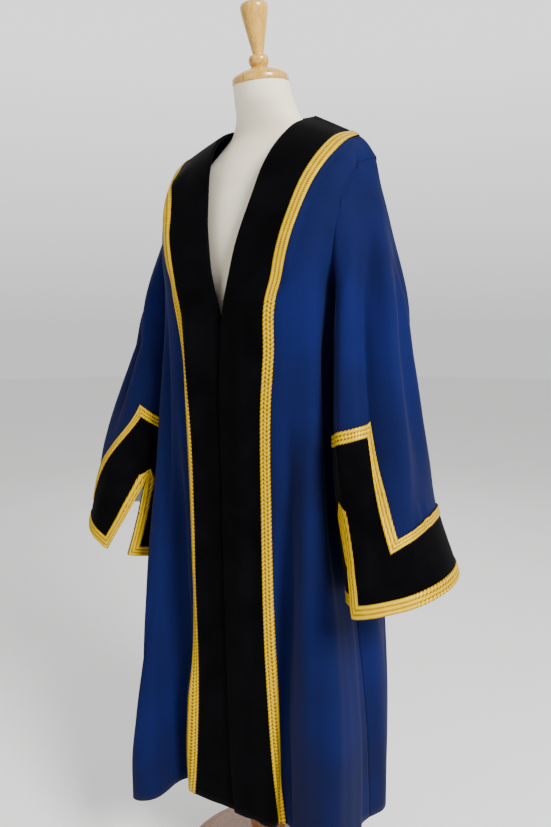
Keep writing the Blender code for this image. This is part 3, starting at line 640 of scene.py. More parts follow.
def cut_sheet(windows, lift, roll=()):
    """A sheet laid on parts of drapes: each window is a drape and its first and last row and
    column. A roll turns its first edge over the cloth's own: places past that edge and above the
    cloth, one for each added column."""
    whole = bmesh.new()
    for drape, row_from, row_to, column_from, column_to in windows:
        fine = drape.fine

        def lay(row, column, drape=drape, first_row=row_from * fine, first_column=column_from * fine):
            i, j = first_row + row, first_column + column - len(roll)
            past, above = (0.0, lift) if j >= 0 else roll[-1 - j]
            j = max(j, 0)
            place = drape.points[i, j] + drape.normals[i, j] * above
            if past:
                edge = drape.points[i, 0] - drape.points[i, 1]
                place = place + edge / np.linalg.norm(edge) * past
            return place, (drape.across[i, j] - past, drape.along[i, j])

        bm = laid_grid((row_to - row_from) * fine, (column_to - column_from) * fine + len(roll), lay)
        if drape.flip:
            bmesh.ops.reverse_faces(bm, faces=bm.faces)
        part = bpy.data.meshes.new("part")
        bm.to_mesh(part)
        bm.free()
        whole.from_mesh(part)
        bpy.data.meshes.remove(part)
    bmesh.ops.remove_doubles(whole, verts=whole.verts, dist=0.00002)
    return whole


def show_cloth(name, bm, material, node, thickness):
    """Shows a sheet and gives it its thickness: inwards for a panel, outwards for what is laid on."""
    piece = show(name, bm, material, [node], SOFT_ANGLE)
    wall = piece.modifiers.new("thickness", "SOLIDIFY")
    wall.thickness = abs(thickness)
    wall.offset = 1.0 if thickness > 0 else -1.0
    return piece


YARN_PITCH = 0.0016


def blue_wool(tree):
    """Wool and polyester plain weave, piece dyed. The yarns are 0.5 mm apart; they are drawn at
    1.6 mm so that they just show. Faint uneven dye and a dry, slightly hairy face."""
    weave = add_node(tree, "UVMap", {"uv_map": "weave"})
    yarns = []
    for axis in ("X", "Y"):
        along = add_node(tree, "SeparateXYZ", {0: weave}, axis)
        turn = add_node(tree, "Math", {"operation": "MULTIPLY", 0: along, 1: 2 * math.pi / YARN_PITCH})
        yarns.append(add_node(tree, "Math", {"operation": "SINE", 0: turn}))
    cross = add_node(tree, "Math", {"operation": "MULTIPLY", 0: yarns[0], 1: yarns[1]})
    place = add_node(tree, "TexCoord", output="Object")
    slubs = add_node(tree, "TexNoise", {"Scale": 260.0, "Detail": 2.0, "Vector": place}, "Fac")
    dye = add_node(tree, "TexNoise", {"Scale": 5.0, "Detail": 3.0, "Vector": place}, "Fac")
    mixed = add_node(tree, "Math", {"operation": "MULTIPLY_ADD", 0: slubs, 1: 0.25, 2: dye})
    stops = [(0.40, "#040A2F"), (0.85, "#071147")]
    height = add_node(tree, "Math", {"operation": "MULTIPLY_ADD", 0: cross, 1: 0.35, 2: slubs})
    return add_node(tree, "ValToRGB", {"stops": stops, 0: mixed}), height, 0.18, 0.0004


wool = finish_material("blue wool plain weave", blue_wool, Roughness=0.88, Sheen_Weight=0.015,
                       Sheen_Roughness=0.5, Specular_IOR_Level=0.12)


def mirrored(grid):
    return np.array(grid) * np.array([-1.0, 1.0, 1.0])


fronts = {}
for side, underlap, depth in (("left", 0.0, 0.0), ("right", UNDERLAP, LAP_DEPTH)):
    grid = front_panel(side, underlap, depth)
    fronts[side] = Drape(grid if side == "left" else mirrored(grid), FINE, BODY_CREASES, post_axis,
                         side == "right")
FRONT_ROWS = LOWER_ROWS + UPPER_ROWS
FRONT_COLUMNS = FACING_CELLS + FRONT_REST_COLUMNS
# The cloth rolls up and over the shoulder: it stands this far proud just in front of the seam
SHOULDER_ROLL = 0.010
ROLL_START = 0.35
ROLL_GROWS = 0.35
ROLL_ENDS = 0.22
ROLL_OUTER_COLUMNS = (8, 14)
ROLL_OUTER_LOSS = 0.6
up = (np.arange(FRONT_ROWS * FINE + 1) / FINE - LOWER_ROWS) / UPPER_ROWS
roll_up = smoothstep((up - ROLL_START) / ROLL_GROWS) * smoothstep((1 - up) / ROLL_ENDS)
out = (np.arange(FRONT_COLUMNS * FINE + 1) / FINE - ROLL_OUTER_COLUMNS[0]) / np.ptp(ROLL_OUTER_COLUMNS)
roll_across = 1 - ROLL_OUTER_LOSS * smoothstep(out)
for drape in fronts.values():
    drape.points += drape.normals * (SHOULDER_ROLL * roll_up[:, None] * roll_across)[..., None]
    drape.settle()
# A flat cut's measures: hem width, length from hem to neck point, and area inside its slanted side,
# armhole and shoulder
Cut = namedtuple("Cut", "width length area")
for side, drape in fronts.items():
    bm = cut_sheet([(drape, 0, FRONT_ROWS, 0, FRONT_COLUMNS)], 0.0)
    front = show_cloth(f"wool_front_{side}", bm, wool, f"front_{side}", -CLOTH)


# Back of the robe
# One width of the same cloth from side seam to side seam, falling from the neck and shoulders.
BACK_FOLDS = listed(Fold, [
    (0.00, 0.020, 0.110, 0.95),
    (0.24, -0.022, 0.075, 1.00),
    (0.47, 0.034, 0.090, 1.05),
    (0.70, -0.020, 0.075, 0.90),
    (0.88, 0.014, 0.060, 0.80),
])
BACK_ARMHOLE = listed(Edge, [
    UNDERARM,
    (0.172, 0.058, 1.203),
    (0.178, 0.082, 1.250),
    (0.184, 0.082, 1.310),
    (0.190, 0.062, 1.370),
    SHOULDER_TIP,
])
BACK_NECK = listed(Edge, [
    (0.000, 0.0740, 1.5120),
    (0.034, 0.0700, 1.5110),
    (0.060, 0.0590, 1.5075),
    NECK_POINT,
])
CENTRE_BACK = listed(Edge, [
    (0.000, 0.0740, 1.5120),
    (0.000, 0.1060, 1.4420),
    (0.000, 0.1310, 1.3500),
    (0.000, 0.1370, 1.2600),
    (0.000, 0.1350, UNDERARM_HEIGHT),
])
COLLAR_WIDTH = FACING[-1].width
BACK_LOWER_COLUMNS = 10
BACK_ARMHOLE_COLUMNS = 6
BACK_REST_RINGS = 4
COLLAR_CELLS = 3
BACK_EASING = 14


def back_grids():
    """Lower and upper grid of the whole back, from the wearer's right to left. The upper one runs in
    rings round the neck, so that the collar keeps its width, and shares the lower one's top row."""
    lower = []
    for height in np.linspace(HEM_HEIGHT, UNDERARM_HEIGHT, LOWER_ROWS + 1):
        line = plan_row(height, "back", BACK_FOLDS)
        total = lengths_along(line)[-1]
        columns = np.linspace(0, total - SEAM_GAP, BACK_LOWER_COLUMNS + 1) / total
        lower.append(spaced(line, columns))
    arm = curve_through(BACK_ARMHOLE, BACK_ARMHOLE_COLUMNS + 1)[1:]
    outer = np.concatenate([lower[-1], arm])
    share = lengths_along(outer) / lengths_along(outer)[-1]
    inner = spaced(curve_through(BACK_NECK, ROW_SAMPLES), share)
    seam = curve_through(SHOULDER_SEAM, ROW_SAMPLES)
    centre = curve_through(CENTRE_BACK, ROW_SAMPLES)
    rings = []
    for column in range(len(outer)):
        u = share[column]
        rings.append([(1 - v) * inner[column] + v * outer[column]
                      + (1 - u) * (centre[k] - (1 - v) * centre[0] - v * centre[-1])
                      + u * (seam[k] - (1 - v) * seam[0] - v * seam[-1])
                      for k, v in enumerate(np.linspace(0, 1, ROW_SAMPLES))])
    whole = np.array(rings)
    whole = relaxed(np.concatenate([mirrored(whole[:0:-1]), whole]), 1, BACK_EASING)
    upper = []
    for ring in whole:
        total = lengths_along(ring)[-1]
        bare = COLLAR_WIDTH - BRAID_WIDTH
        steps = [0.0, bare / 2, bare, COLLAR_WIDTH]
        steps += list(np.linspace(COLLAR_WIDTH, total, BACK_REST_RINGS + 1)[1:])
        upper.append(spaced(ring, np.array(steps) / total))
    upper = np.array(upper)
    upper[[0, -1]] += (0, SHOULDER_GAP, 0)
    lower = np.array(lower)
    return np.concatenate([mirrored(lower[:, :0:-1]), lower], axis=1), upper


lower_grid, upper_grid = back_grids()
BACK_RINGS = COLLAR_CELLS + BACK_REST_RINGS
UPPER_COLUMNS = len(upper_grid) - 1
back_lower = Drape(lower_grid, FINE, BODY_CREASES, post_axis, True)
back_upper = Drape(upper_grid, FINE, BODY_CREASES, post_axis, True)
# The side seams close just under the fronts' edges; the shift fades over the back's outer columns
for side, outwards in (("right", range(0, 2 * FINE + 1)), ("left", range(-1, -2 * FINE - 2, -1))):
    seam_edge = fronts[side].points[:LOWER_ROWS * FINE + 1, -1] - (0, SEAM_GAP, 0)
    shift = seam_edge - back_lower.points[:, outwards[0]]
    for step, column in enumerate(outwards):
        back_lower.points[:, column] += shift * (1 - smoothstep(step / (2 * FINE)))
back_lower.settle()
join = slice(BACK_ARMHOLE_COLUMNS * FINE, (BACK_ARMHOLE_COLUMNS + 2 * BACK_LOWER_COLUMNS) * FINE + 1)
back_upper.points[join, -1] = back_lower.points[-1]
back_upper.normals[join, -1] = back_lower.normals[-1]
back_upper.across, back_upper.along = back_upper.points[..., 0], back_upper.points[..., 2] - HEM_HEIGHT
bm = cut_sheet([(back_lower, 0, LOWER_ROWS, 0, 2 * BACK_LOWER_COLUMNS),
                (back_upper, 0, UPPER_COLUMNS, 0, BACK_RINGS)], 0.0)
back = show_cloth("wool_back", bm, wool, "back_panel", -CLOTH)


# Sleeves
# Wide bell sleeves of the same cloth, set into the armholes. Each hangs from a full head, widens to
# the wrist and is slit at the front of the wrist; the right one's slit hangs open.
Ring = namedtuple("Ring", "height out forward half_width half_depth slit peak")
LEFT_SLEEVE = listed(Ring, [
    (1.100, 0.2190, -0.009, 0.060, 0.087, -40, 24),
    (1.010, 0.2310, -0.015, 0.066, 0.098, -36, 27),
    (0.893, 0.2490, -0.025, 0.075, 0.109, -29, 33),
    (0.835, 0.2585, -0.028, 0.076, 0.109, -27, 37),
    (0.700, 0.2930, -0.032, 0.089, 0.124, -24, 41),
    (0.640, 0.3060, -0.032, 0.098, 0.130, -22, 41),
])
RIGHT_SLEEVE = listed(Ring, [
    (1.100, 0.2360, -0.009, 0.060, 0.088, -78, -40),
    (0.980, 0.2610, -0.018, 0.071, 0.103, -68, -28),
    (0.852, 0.2880, -0.027, 0.081, 0.110, -56, 24),
    (0.767, 0.2965, -0.031, 0.083, 0.119, -43, 42),
    (0.640, 0.3200, -0.034, 0.092, 0.136, -28, 47),
])
# Rows of both sleeves below the full ring: the lowest point's height and how far the row rises
Row = namedtuple("Row", "height rise")
SLEEVE_ROWS = {
    "upper": {"left": Row(1.010, 0.045), "right": Row(1.038, 0.045)},
    "cuff top": {"left": Row(0.947, 0.060), "right": Row(0.934, 0.130)},
    "cuff top braid": {"left": Row(0.927, 0.060), "right": Row(0.914, 0.130)},
    "slit braid top": {"left": Row(0.836, 0.090), "right": Row(0.835, 0.090)},
    "slit top": {"left": Row(0.816, 0.090), "right": Row(0.816, 0.090)},
    "band top": {"left": Row(0.741, 0.087), "right": Row(0.746, 0.060)},
    "band braid": {"left": Row(0.729, 0.084), "right": Row(0.726, 0.060)},
    "band middle": {"left": Row(0.701, 0.070), "right": Row(0.701, 0.073)},
    "hem braid": {"left": Row(0.693, 0.041), "right": Row(0.677, 0.084)},
    "hem": {"left": Row(0.673, 0.041), "right": Row(0.657, 0.084)},
}
Sleeve = namedtuple("Sleeve", "side rings lowest opening")
SLEEVES = [
    Sleeve("left", LEFT_SLEEVE, math.radians(-75), 0.006),
    Sleeve("right", RIGHT_SLEEVE, math.radians(-100), 0.046),
]
SLEEVE_HEAD_ROWS = 6
PEAK_COLUMN = 5
OPPOSITE_COLUMN = 9
LAST_COLUMN = 2 * OPPOSITE_COLUMN
SLEEVE_FINE = 8
MEAN_RISE = 0.25
# Flaps of a slit at the cuff's lower edge: how far the outer and the inner one stand out sideways
# and back, and the columns over which that fades
Flap = namedtuple("Flap", "outer_side outer_back inner_side inner_back columns")
FLAPS = {"left": Flap(0.0020, -0.0205, 0.0060, 0.0120, 3.4),
         "right": Flap(0.0020, -0.0040, 0.0010, -0.0030, 2.0)}
FLAP_GROWTH = 0.5
SEAM_TUCK = 0.0008
# How the sleeve's head leaves the armhole: outward slope, more at the crown, sideways slope, the
# direction in which it arrives at the full ring, and how strongly both ends pull
HEAD_SLOPE = 0.16
CROWN_SLOPE = 0.18
CROWN_POWER = 1.5
HEAD_SIDEWAYS = -0.10
HEAD_ARRIVES = (-0.12, 0, 1)
HEAD_PULL = 0.36
# Creases of a sleeve: azimuth from the arm's front in degrees, positive towards its outside
SLEEVE_CREASES = {
    "left": listed(Crease, [
        (1.38, 0.76, 15, 17, -0.0200, 0.018), (1.39, 0.74, 50, 42, 0.0160, 0.017),
        (1.34, 0.82, 78, 72, -0.0060, 0.018), (1.32, 0.86, 106, 98, 0.0060, 0.020),
        (1.26, 0.78, -10, -12, 0.0090, 0.014), (1.36, 0.80, 130, 142, -0.0130, 0.019),
        (1.30, 0.84, 158, 172, 0.0110, 0.018), (1.16, 0.80, -160, -150, -0.0080, 0.018),
        (1.432, 1.362, 52, 48, 0.0042, 0.007), (1.434, 1.372, 64, 61, -0.0038, 0.007),
        (1.436, 1.376, 80, 77, 0.0036, 0.008), (1.436, 1.390, 101, 103, 0.0018, 0.006),
        (1.434, 1.380, 118, 117, -0.0020, 0.007), (1.418, 1.330, 33, 27, 0.0050, 0.008),
        (0.858, 0.800, 58, 60, 0.0022, 0.006), (0.864, 0.806, 69, 70, -0.0018, 0.006),
        (0.852, 0.802, 79, 78, 0.0020, 0.005),
    ]),
    "right": listed(Crease, [
        (1.40, 0.92, 58, 54, -0.0110, 0.055), (1.38, 0.84, 16, 8, -0.0150, 0.018),
        (1.39, 0.78, 50, 52, 0.0040, 0.020), (1.34, 0.86, 98, 106, -0.0080, 0.020),
        (1.35, 0.80, 130, 144, 0.0120, 0.018), (1.28, 0.82, 160, 174, -0.0110, 0.018),
        (1.14, 0.78, -150, -142, 0.0055, 0.018), (1.432, 1.366, 56, 52, 0.0040, 0.007),
        (1.434, 1.380, 72, 71, -0.0034, 0.007), (1.436, 1.384, 88, 88, 0.0018, 0.006),
        (1.434, 1.376, 109, 108, -0.0022, 0.007), (1.432, 1.384, 126, 125, 0.0018, 0.006),
        (0.868, 0.812, 84, 86, 0.0020, 0.006), (0.862, 0.808, 97, 96, -0.0018, 0.006),
    ]),
}


def sleeve_ring(table, height, angle):
    """Point of the sleeve at a height and an angle from the ring's front point."""
    ring = Ring(*smooth_table(table, height))
    return np.array([ring.out + ring.half_width * math.sin(angle),
                     ring.forward - ring.half_depth * math.cos(angle), height])


def column_angles(table, height, opening):
    """Angles of a ring's columns, from one edge of the slit round the arm to its other edge."""
    ring = Ring(*smooth_table(table, height))
    radius = math.sqrt(ring.half_width * ring.half_depth)
    slit, peak = math.radians(ring.slit), math.radians(ring.peak)
    half_gap = 0.5 * opening / radius
    braid = BRAID_WIDTH / radius
    reach = peak - slit
    near = [half_gap, half_gap + braid]
    near += list(np.linspace(near[-1], reach - braid, PEAK_COLUMN - 1)[1:]) + [reach]
    half = near + list(np.linspace(reach, math.pi, OPPOSITE_COLUMN - PEAK_COLUMN + 1)[1:])
    return [slit + angle for angle in half + [2 * math.pi - angle for angle in reversed(half[:-1])]]


def row_height(row, turned_by):
    return row.height + row.rise * 0.5 * (1 - math.cos(turned_by))


def armhole_point(edges, angle):
    """Point of the armhole facing an angle of the sleeve: its tip is outward, its foot inward."""
    turn = (angle + math.pi / 2) % (2 * math.pi)
    front_edge, back_edge = edges
    if turn <= math.pi:
        return spaced(front_edge, [turn / math.pi])[0]
    return spaced(back_edge, [2 - turn / math.pi])[0]


def head_meridian(edges, angle, end):
    """Line of the sleeve head from the armhole down to the first full ring."""
    start = armhole_point(edges, angle)
    crown = max(0.0, math.sin(angle)) ** CROWN_POWER
    leave = np.array([HEAD_SLOPE + CROWN_SLOPE * crown, HEAD_SIDEWAYS * math.cos(angle), -1.0])
    leave /= np.linalg.norm(leave)
    pull = HEAD_PULL * np.linalg.norm(end - start)
    line = bezier(start, start + leave * pull, end + np.array(HEAD_ARRIVES) * pull, end, ROW_SAMPLES)
    return spaced(line, np.linspace(0, 1, SLEEVE_HEAD_ROWS + 1))


def sleeve_grid(sleeve, edges):
    """Grid of a sleeve for the +X side: rows from the armhole down, columns round from the slit."""
    top = sleeve.rings[0].height
    head = [head_meridian(edges, angle, sleeve_ring(sleeve.rings, top, angle))
            for angle in column_angles(sleeve.rings, top, 0.0)]
    rows = list(np.array(head).transpose(1, 0, 2))
    slit_top, hem = SLEEVE_ROWS["slit top"][sleeve.side].height, SLEEVE_ROWS["hem"][sleeve.side].height
    for row in [both[sleeve.side] for both in SLEEVE_ROWS.values()]:
        gap = sleeve.opening * max(0.0, (slit_top - row.height) / (slit_top - hem))
        line = []
        first_guess = column_angles(sleeve.rings, row.height + MEAN_RISE * row.rise, gap)
        for column, angle in enumerate(first_guess):
            height = row_height(row, angle - sleeve.lowest)
            angle = column_angles(sleeve.rings, height, gap)[column]
            height = row_height(row, angle - sleeve.lowest)
            line.append(sleeve_ring(sleeve.rings, height, angle))
        rows.append(np.array(line))
    return np.array(rows)


def sleeve_row(name):
    return SLEEVE_HEAD_ROWS + 1 + list(SLEEVE_ROWS).index(name)


SLEEVE_LAST_ROW = sleeve_row("hem")
sleeves = {}
for sleeve in SLEEVES:
    sign = 1 if sleeve.side == "left" else -1
    table = sleeve.rings

    def arm_axis(height, table=table, sign=sign):
        rows = np.array([[*smooth_table(table, z)[1:3]] for z in height.ravel()])
        return (rows * (sign, 1)).reshape(height.shape + (2,))

    creases = [crease._replace(start=sign * crease.start, end=sign * crease.end)
               for crease in SLEEVE_CREASES[sleeve.side]]
    front_edge = fronts[sleeve.side].points[LOWER_ROWS * FINE:, -1]
    rings = back_upper.points[::-sign, -1]
    back_edge = rings[BACK_ARMHOLE_COLUMNS * FINE::-1]
    edges = [edge * (sign, 1, 1) for edge in (front_edge, back_edge)]
    grid = sleeve_grid(sleeve, edges)
    drape = Drape(grid if sign > 0 else mirrored(grid), SLEEVE_FINE, creases, arm_axis, sign > 0,
                  sleeve_row("slit top"))
    columns = np.arange(LAST_COLUMN * SLEEVE_FINE + 1) / SLEEVE_FINE
    rows = np.arange(SLEEVE_LAST_ROW * SLEEVE_FINE + 1) / SLEEVE_FINE
    angles = np.interp(columns, np.arange(LAST_COLUMN + 1),
                       column_angles(table, sleeve.rings[0].height, 0.0))
    sewn = np.array([armhole_point(edges, angle) for angle in angles]) - (SEAM_TUCK, 0, SEAM_TUCK)
    eased = (1 - smoothstep(rows[:SLEEVE_FINE + 1]))[:, None, None]
    flap = FLAPS[sleeve.side]
    outer = (1 - smoothstep(columns / flap.columns))[:, None]
    inner = (1 - smoothstep((LAST_COLUMN - columns) / flap.columns))[:, None]
    stand = (outer * (sign * flap.outer_side, flap.outer_back, 0)
             + inner * (sign * flap.inner_side, flap.inner_back, 0))
    grown = smoothstep((rows - sleeve_row("slit top")) / (SLEEVE_LAST_ROW - sleeve_row("slit top")))
    drape.points += (grown ** FLAP_GROWTH)[:, None, None] * stand
    drape.points[:SLEEVE_FINE + 1] += eased * (sewn * (sign, 1, 1) - drape.points[0])
    drape.settle()
    sleeves[sleeve.side] = drape
    bm = cut_sheet([(drape, 0, SLEEVE_LAST_ROW, 0, LAST_COLUMN)], 0.0)
    made = show_cloth(f"wool_sleeve_{sleeve.side}", bm, wool, f"sleeve_{sleeve.side}",
                      -CLOTH)


# Sleeve linings
# Pale grey satin inside each cuff, turned up with it; it shows through the right sleeve's slit.
LINING = 0.0010
STREAK_WIDTH = 0.0008


def satin(tree):
    """Acetate satin: smooth warp floats give a soft streak down the cloth, 0.8 mm apart."""
    weave = add_node(tree, "UVMap", {"uv_map": "weave"})
    drawn = add_node(tree, "Mapping", {"Scale": (1.0, 0.05, 1.0), "Vector": weave})
    floats = add_node(tree, "TexNoise", {"Scale": 1 / STREAK_WIDTH, "Detail": 2.0, "Vector": drawn},
                      "Fac")
    stops = [(0.3, "#9EA3A9"), (0.7, "#B4B8BD")]
    return add_node(tree, "ValToRGB", {"stops": stops, 0: floats}), floats, 0.08, 0.0002


grey_satin = finish_material("grey acetate satin", satin, Roughness=0.38, Sheen_Weight=0.15)
for side, drape in sleeves.items():
    bm = cut_sheet([(drape, sleeve_row("cuff top"), SLEEVE_LAST_ROW, 0, LAST_COLUMN)], -CLOTH - GAP)
    made = show_cloth(f"satin_lining_{side}", bm, grey_satin, f"lining_{side}", -LINING)


# Velvet facings, collar and cuffs
# Black cotton velvet on the fronts' edges from hem to shoulder, joined to a collar round the back
# neck, and deep cuffs that stand up in a peak beside the slit and step down to a band behind.
VELVET = 0.0014


def black_velvet(tree):
    """Cotton velvet: a dense upright pile 1 mm deep, so it drinks the light, with patches where
    the pile lies a little over and a soft light rim where it is seen edge on."""
    place = add_node(tree, "TexCoord", output="Object")
    pile = add_node(tree, "TexNoise", {"Scale": 900.0, "Detail": 2.0, "Vector": place}, "Fac")
    brushed = add_node(tree, "TexNoise", {"Scale": 14.0, "Detail": 4.0, "Distortion": 0.5,
                                          "Vector": place}, "Fac")
    stops = [(0.35, "#020203"), (0.70, "#060608")]
    height = add_node(tree, "Math", {"operation": "MULTIPLY_ADD", 0: brushed, 1: 0.4, 2: pile})
    return add_node(tree, "ValToRGB", {"stops": stops, 0: brushed}), height, 0.35, 0.0006


velvet = finish_material("black cotton velvet", black_velvet, Roughness=0.95, Sheen_Weight=0.02,
                         Sheen_Roughness=0.35, Specular_IOR_Level=0.04)
# Turned edge of the velvet: how far past the cloth's edge and how far above the cloth
EDGE_ROLL = [(0.0004, -0.0003), (0.0004, -0.0013), (-0.0005, -0.0018), (-0.0080, -0.0018)]
for side, drape in fronts.items():
    bm = cut_sheet([(drape, 0, FRONT_ROWS, 0, FACING_CELLS)], GAP, EDGE_ROLL)
    show_cloth(f"velvet_facing_{side}", bm, velvet,
                                           f"facing_{side}", VELVET)
bm = cut_sheet([(back_upper, 0, UPPER_COLUMNS, 0, COLLAR_CELLS)], GAP, EDGE_ROLL)
show_cloth("velvet_collar", bm, velvet, "collar_back", VELVET)
cuff_top, band_top = sleeve_row("cuff top"), sleeve_row("band top")
for side, drape in sleeves.items():
    bm = cut_sheet([(drape, cuff_top, band_top, 0, PEAK_COLUMN),
                    (drape, cuff_top, band_top, LAST_COLUMN - PEAK_COLUMN, LAST_COLUMN),
                    (drape, band_top, SLEEVE_LAST_ROW, 0, LAST_COLUMN)], GAP)
    show_cloth(f"velvet_cuff_{side}", bm, velvet,
                                         f"cuff_{side}", VELVET)


# Gold braid
# Flat woven braid, 19 mm wide: three plaited ribs of yellow-gold thread, sewn down on the velvet
# along both its edges and mitred where it turns.
BRAID = 0.0016
RIBS = 3
RIB_HEIGHT = 0.0006
RIB_FULLNESS = 0.7
SELVEDGE = 0.05
SELVEDGE_HEIGHT = 0.6
BRAID_WEB = 0.0006
CHEVRON_PITCH = 0.0055
CHEVRON_LEAN = 0.0040
BRAID_ACROSS = 18
BRAID_STEP = 0.006


def strip(drape, sides, closed=False):
    """A braid along paired edges: each side is its outer and its inner run of places (row, column)
    on the drape. Its metres run across the braid and along it."""
    rows = []
    along = 0.0
    for outer, inner in sides:
        outer, inner = np.array(outer, float), np.array(inner, float)
        length = 0.0
        for first, second in zip(outer, outer[1:]):
            length += np.linalg.norm(drape.at(*second, 0) - drape.at(*first, 0))
        steps = max(2, round(length / BRAID_STEP))
        share = np.linspace(0, 1, steps + 1)
        for k, t in enumerate(share):
            if k == 0 and rows:
                continue
            a, b = [[np.interp(t, np.linspace(0, 1, len(edge)), edge[:, axis]) for axis in (0, 1)]
                    for edge in (outer, inner)]
            rows.append((a, b, along + t * length))
        along += length

    def lay(k, column):
        t = column / BRAID_ACROSS
        outer, inner, length = rows[k]
        place = np.array(outer) * (1 - t) + np.array(inner) * t
        rib = abs(math.sin(math.pi * RIBS * t)) ** RIB_FULLNESS
        if min(t, 1 - t) <= SELVEDGE:
            rib *= SELVEDGE_HEIGHT
        lift = 2 * GAP + VELVET + BRAID - RIB_HEIGHT * (1 - rib)
        return drape.at(*place, lift), (t * BRAID_WIDTH, length)

    bm = laid_grid(len(rows) - 1, BRAID_ACROSS, lay)
    if closed:
        bmesh.ops.remove_doubles(bm, verts=bm.verts, dist=0.0001)
    return bm


def faced_outwards(bm, drape, row, column):
    """Turns the strip's faces to the cloth's outward side, judged at one place."""
    target = Vector(drape.at(row, column, 0.0))
    normal = Vector(drape.at(row, column, 1.0)) - target
    bm.normal_update()
    nearest = min(bm.faces, key=lambda face: (face.calc_center_median() - target).length)
    if nearest.normal.dot(normal) < 0:
        bmesh.ops.reverse_faces(bm, faces=bm.faces)
    return bm


def gold_braid(tree):
    """Metallised thread over a cotton core, plaited in chevrons 5.5 mm apart. Its colour holds a
    painted highlight on the threads' crowns and painted shade, brown, in the grooves between the ribs."""
    weave = add_node(tree, "UVMap", {"uv_map": "weave"})
    across, along = [add_node(tree, "SeparateXYZ", {0: weave}, axis) for axis in ("X", "Y")]
    rib = add_node(tree, "Math", {"operation": "MULTIPLY", 0: across, 1: RIBS / BRAID_WIDTH})
    zigzag = add_node(tree, "Math", {"operation": "PINGPONG", 0: rib, 1: 1.0})
    lean = add_node(tree, "Math", {"operation": "MULTIPLY", 0: zigzag, 1: CHEVRON_LEAN})
    lane = add_node(tree, "Math", {"operation": "ADD", 0: along, 1: lean})
    turn = add_node(tree, "Math", {"operation": "MULTIPLY", 0: lane, 1: 2 * math.pi / CHEVRON_PITCH})
    # Painted highlight on each thread's crown and painted shade between the threads; the same wave is
    # also the bump's relief
    thread_relief_and_painted_shade = add_node(tree, "Math", {"operation": "SINE", 0: turn})
    # Painted shade: the colour darkens from each rib's middle towards the grooves between the ribs
    half = add_node(tree, "Math", {"operation": "PINGPONG", 0: rib, 1: 0.5})
    crown = add_node(tree, "Math", {"operation": "MULTIPLY", 0: half, 1: 1.3})
    place = add_node(tree, "TexCoord", output="Object")
    wear = add_node(tree, "TexNoise", {"Scale": 90.0, "Detail": 3.0, "Vector": place}, "Fac")
    # body is both the braid's relief for the bump and the painted highlight and shade in its colour
    body = add_node(tree, "Math", {"operation": "MULTIPLY_ADD", 0: thread_relief_and_painted_shade, 1: 0.26, 2: crown})
    wear_and_painted_shade = add_node(tree, "Math", {"operation": "MULTIPLY_ADD", 0: wear, 1: 0.35, 2: body})
    # The dark brown stop is painted shade in the grooves, the bright gold stop a painted highlight on
    # the crowns
    stops = [(0.10, "#6A4C00"), (0.40, "#BC9400"), (0.90, "#ECC400")]
    return add_node(tree, "ValToRGB", {"stops": stops, 0: wear_and_painted_shade}), body, 0.5, 0.0006


braid_thread = finish_material("gold thread braid", gold_braid, Roughness=0.55, Metallic=0.40,
                               Specular_IOR_Level=0.06)


def run(*places):
    """Straight runs on the grid between places, one step for each coarse row or column."""
    points = [places[0]]
    for first, second in zip(places, places[1:]):
        across = np.subtract(second, first)
        steps = max(1, round(max(abs(across))))
        points += [tuple(first + across * t) for t in np.linspace(0, 1, steps + 1)[1:]]
    return points


def sew_braid(name, drape, sides, node, check, closed=False):
    bm = faced_outwards(strip(drape, sides, closed), drape, *check)
    return show_cloth(name, bm, braid_thread, node, -BRAID_WEB)


for side, drape in fronts.items():
    edges = [(run((0, FACING_CELLS), (FRONT_ROWS, FACING_CELLS)),
              run((0, FACING_CELLS - 1), (FRONT_ROWS, FACING_CELLS - 1)))]
    braid = sew_braid(f"gold_braid_facing_{side}", drape, edges, f"braid_facing_{side}",
                      (5, FACING_CELLS - 0.5))
edges = [(run((0, COLLAR_CELLS), (UPPER_COLUMNS, COLLAR_CELLS)),
          run((0, COLLAR_CELLS - 1), (UPPER_COLUMNS, COLLAR_CELLS - 1)))]
braid = sew_braid("gold_braid_collar", back_upper, edges, "braid_collar_back", (8, COLLAR_CELLS - 0.5))
far = LAST_COLUMN - PEAK_COLUMN
top_inner, band_inner = sleeve_row("cuff top braid"), sleeve_row("band braid")
slit_apex, slit_top = sleeve_row("slit braid top"), sleeve_row("slit top")
hem_inner = sleeve_row("hem braid")
for side, drape in sleeves.items():
    near_top = (run((cuff_top, 0), (cuff_top, PEAK_COLUMN)),
                run((top_inner, 0), (top_inner, PEAK_COLUMN - 1)))
    down = (run((cuff_top, PEAK_COLUMN), (band_top, PEAK_COLUMN)),
            run((top_inner, PEAK_COLUMN - 1), (band_inner, PEAK_COLUMN - 1)))
    behind = (run((band_top, PEAK_COLUMN), (band_top, far)),
              run((band_inner, PEAK_COLUMN - 1), (band_inner, far + 1)))
    up = (run((band_top, far), (cuff_top, far)), run((band_inner, far + 1), (top_inner, far + 1)))
    far_top = (run((cuff_top, far), (cuff_top, LAST_COLUMN)),
               run((top_inner, far + 1), (top_inner, LAST_COLUMN)))
    top_braid = sew_braid(f"gold_braid_cuff_top_{side}", drape, [near_top, down, behind, up, far_top],
                          f"braid_cuff_top_{side}", (cuff_top + 0.5, 2.0), True)
    down = (run((slit_top, 0), (SLEEVE_LAST_ROW, 0)),
            [(slit_apex, 0)] + run((slit_top, 1), (hem_inner, 1)))
    around = (run((SLEEVE_LAST_ROW, 0), (SLEEVE_LAST_ROW, LAST_COLUMN)),
              run((hem_inner, 1), (hem_inner, LAST_COLUMN - 1)))
    up = (run((SLEEVE_LAST_ROW, LAST_COLUMN), (slit_top, LAST_COLUMN)),
          run((hem_inner, LAST_COLUMN - 1), (slit_top, LAST_COLUMN - 1)) + [(slit_apex, LAST_COLUMN)])
    hem_braid = sew_braid(f"gold_braid_cuff_hem_{side}", drape, [down, around, up],
                          f"braid_cuff_hem_{side}", (SLEEVE_LAST_ROW - 0.5, 6.0))


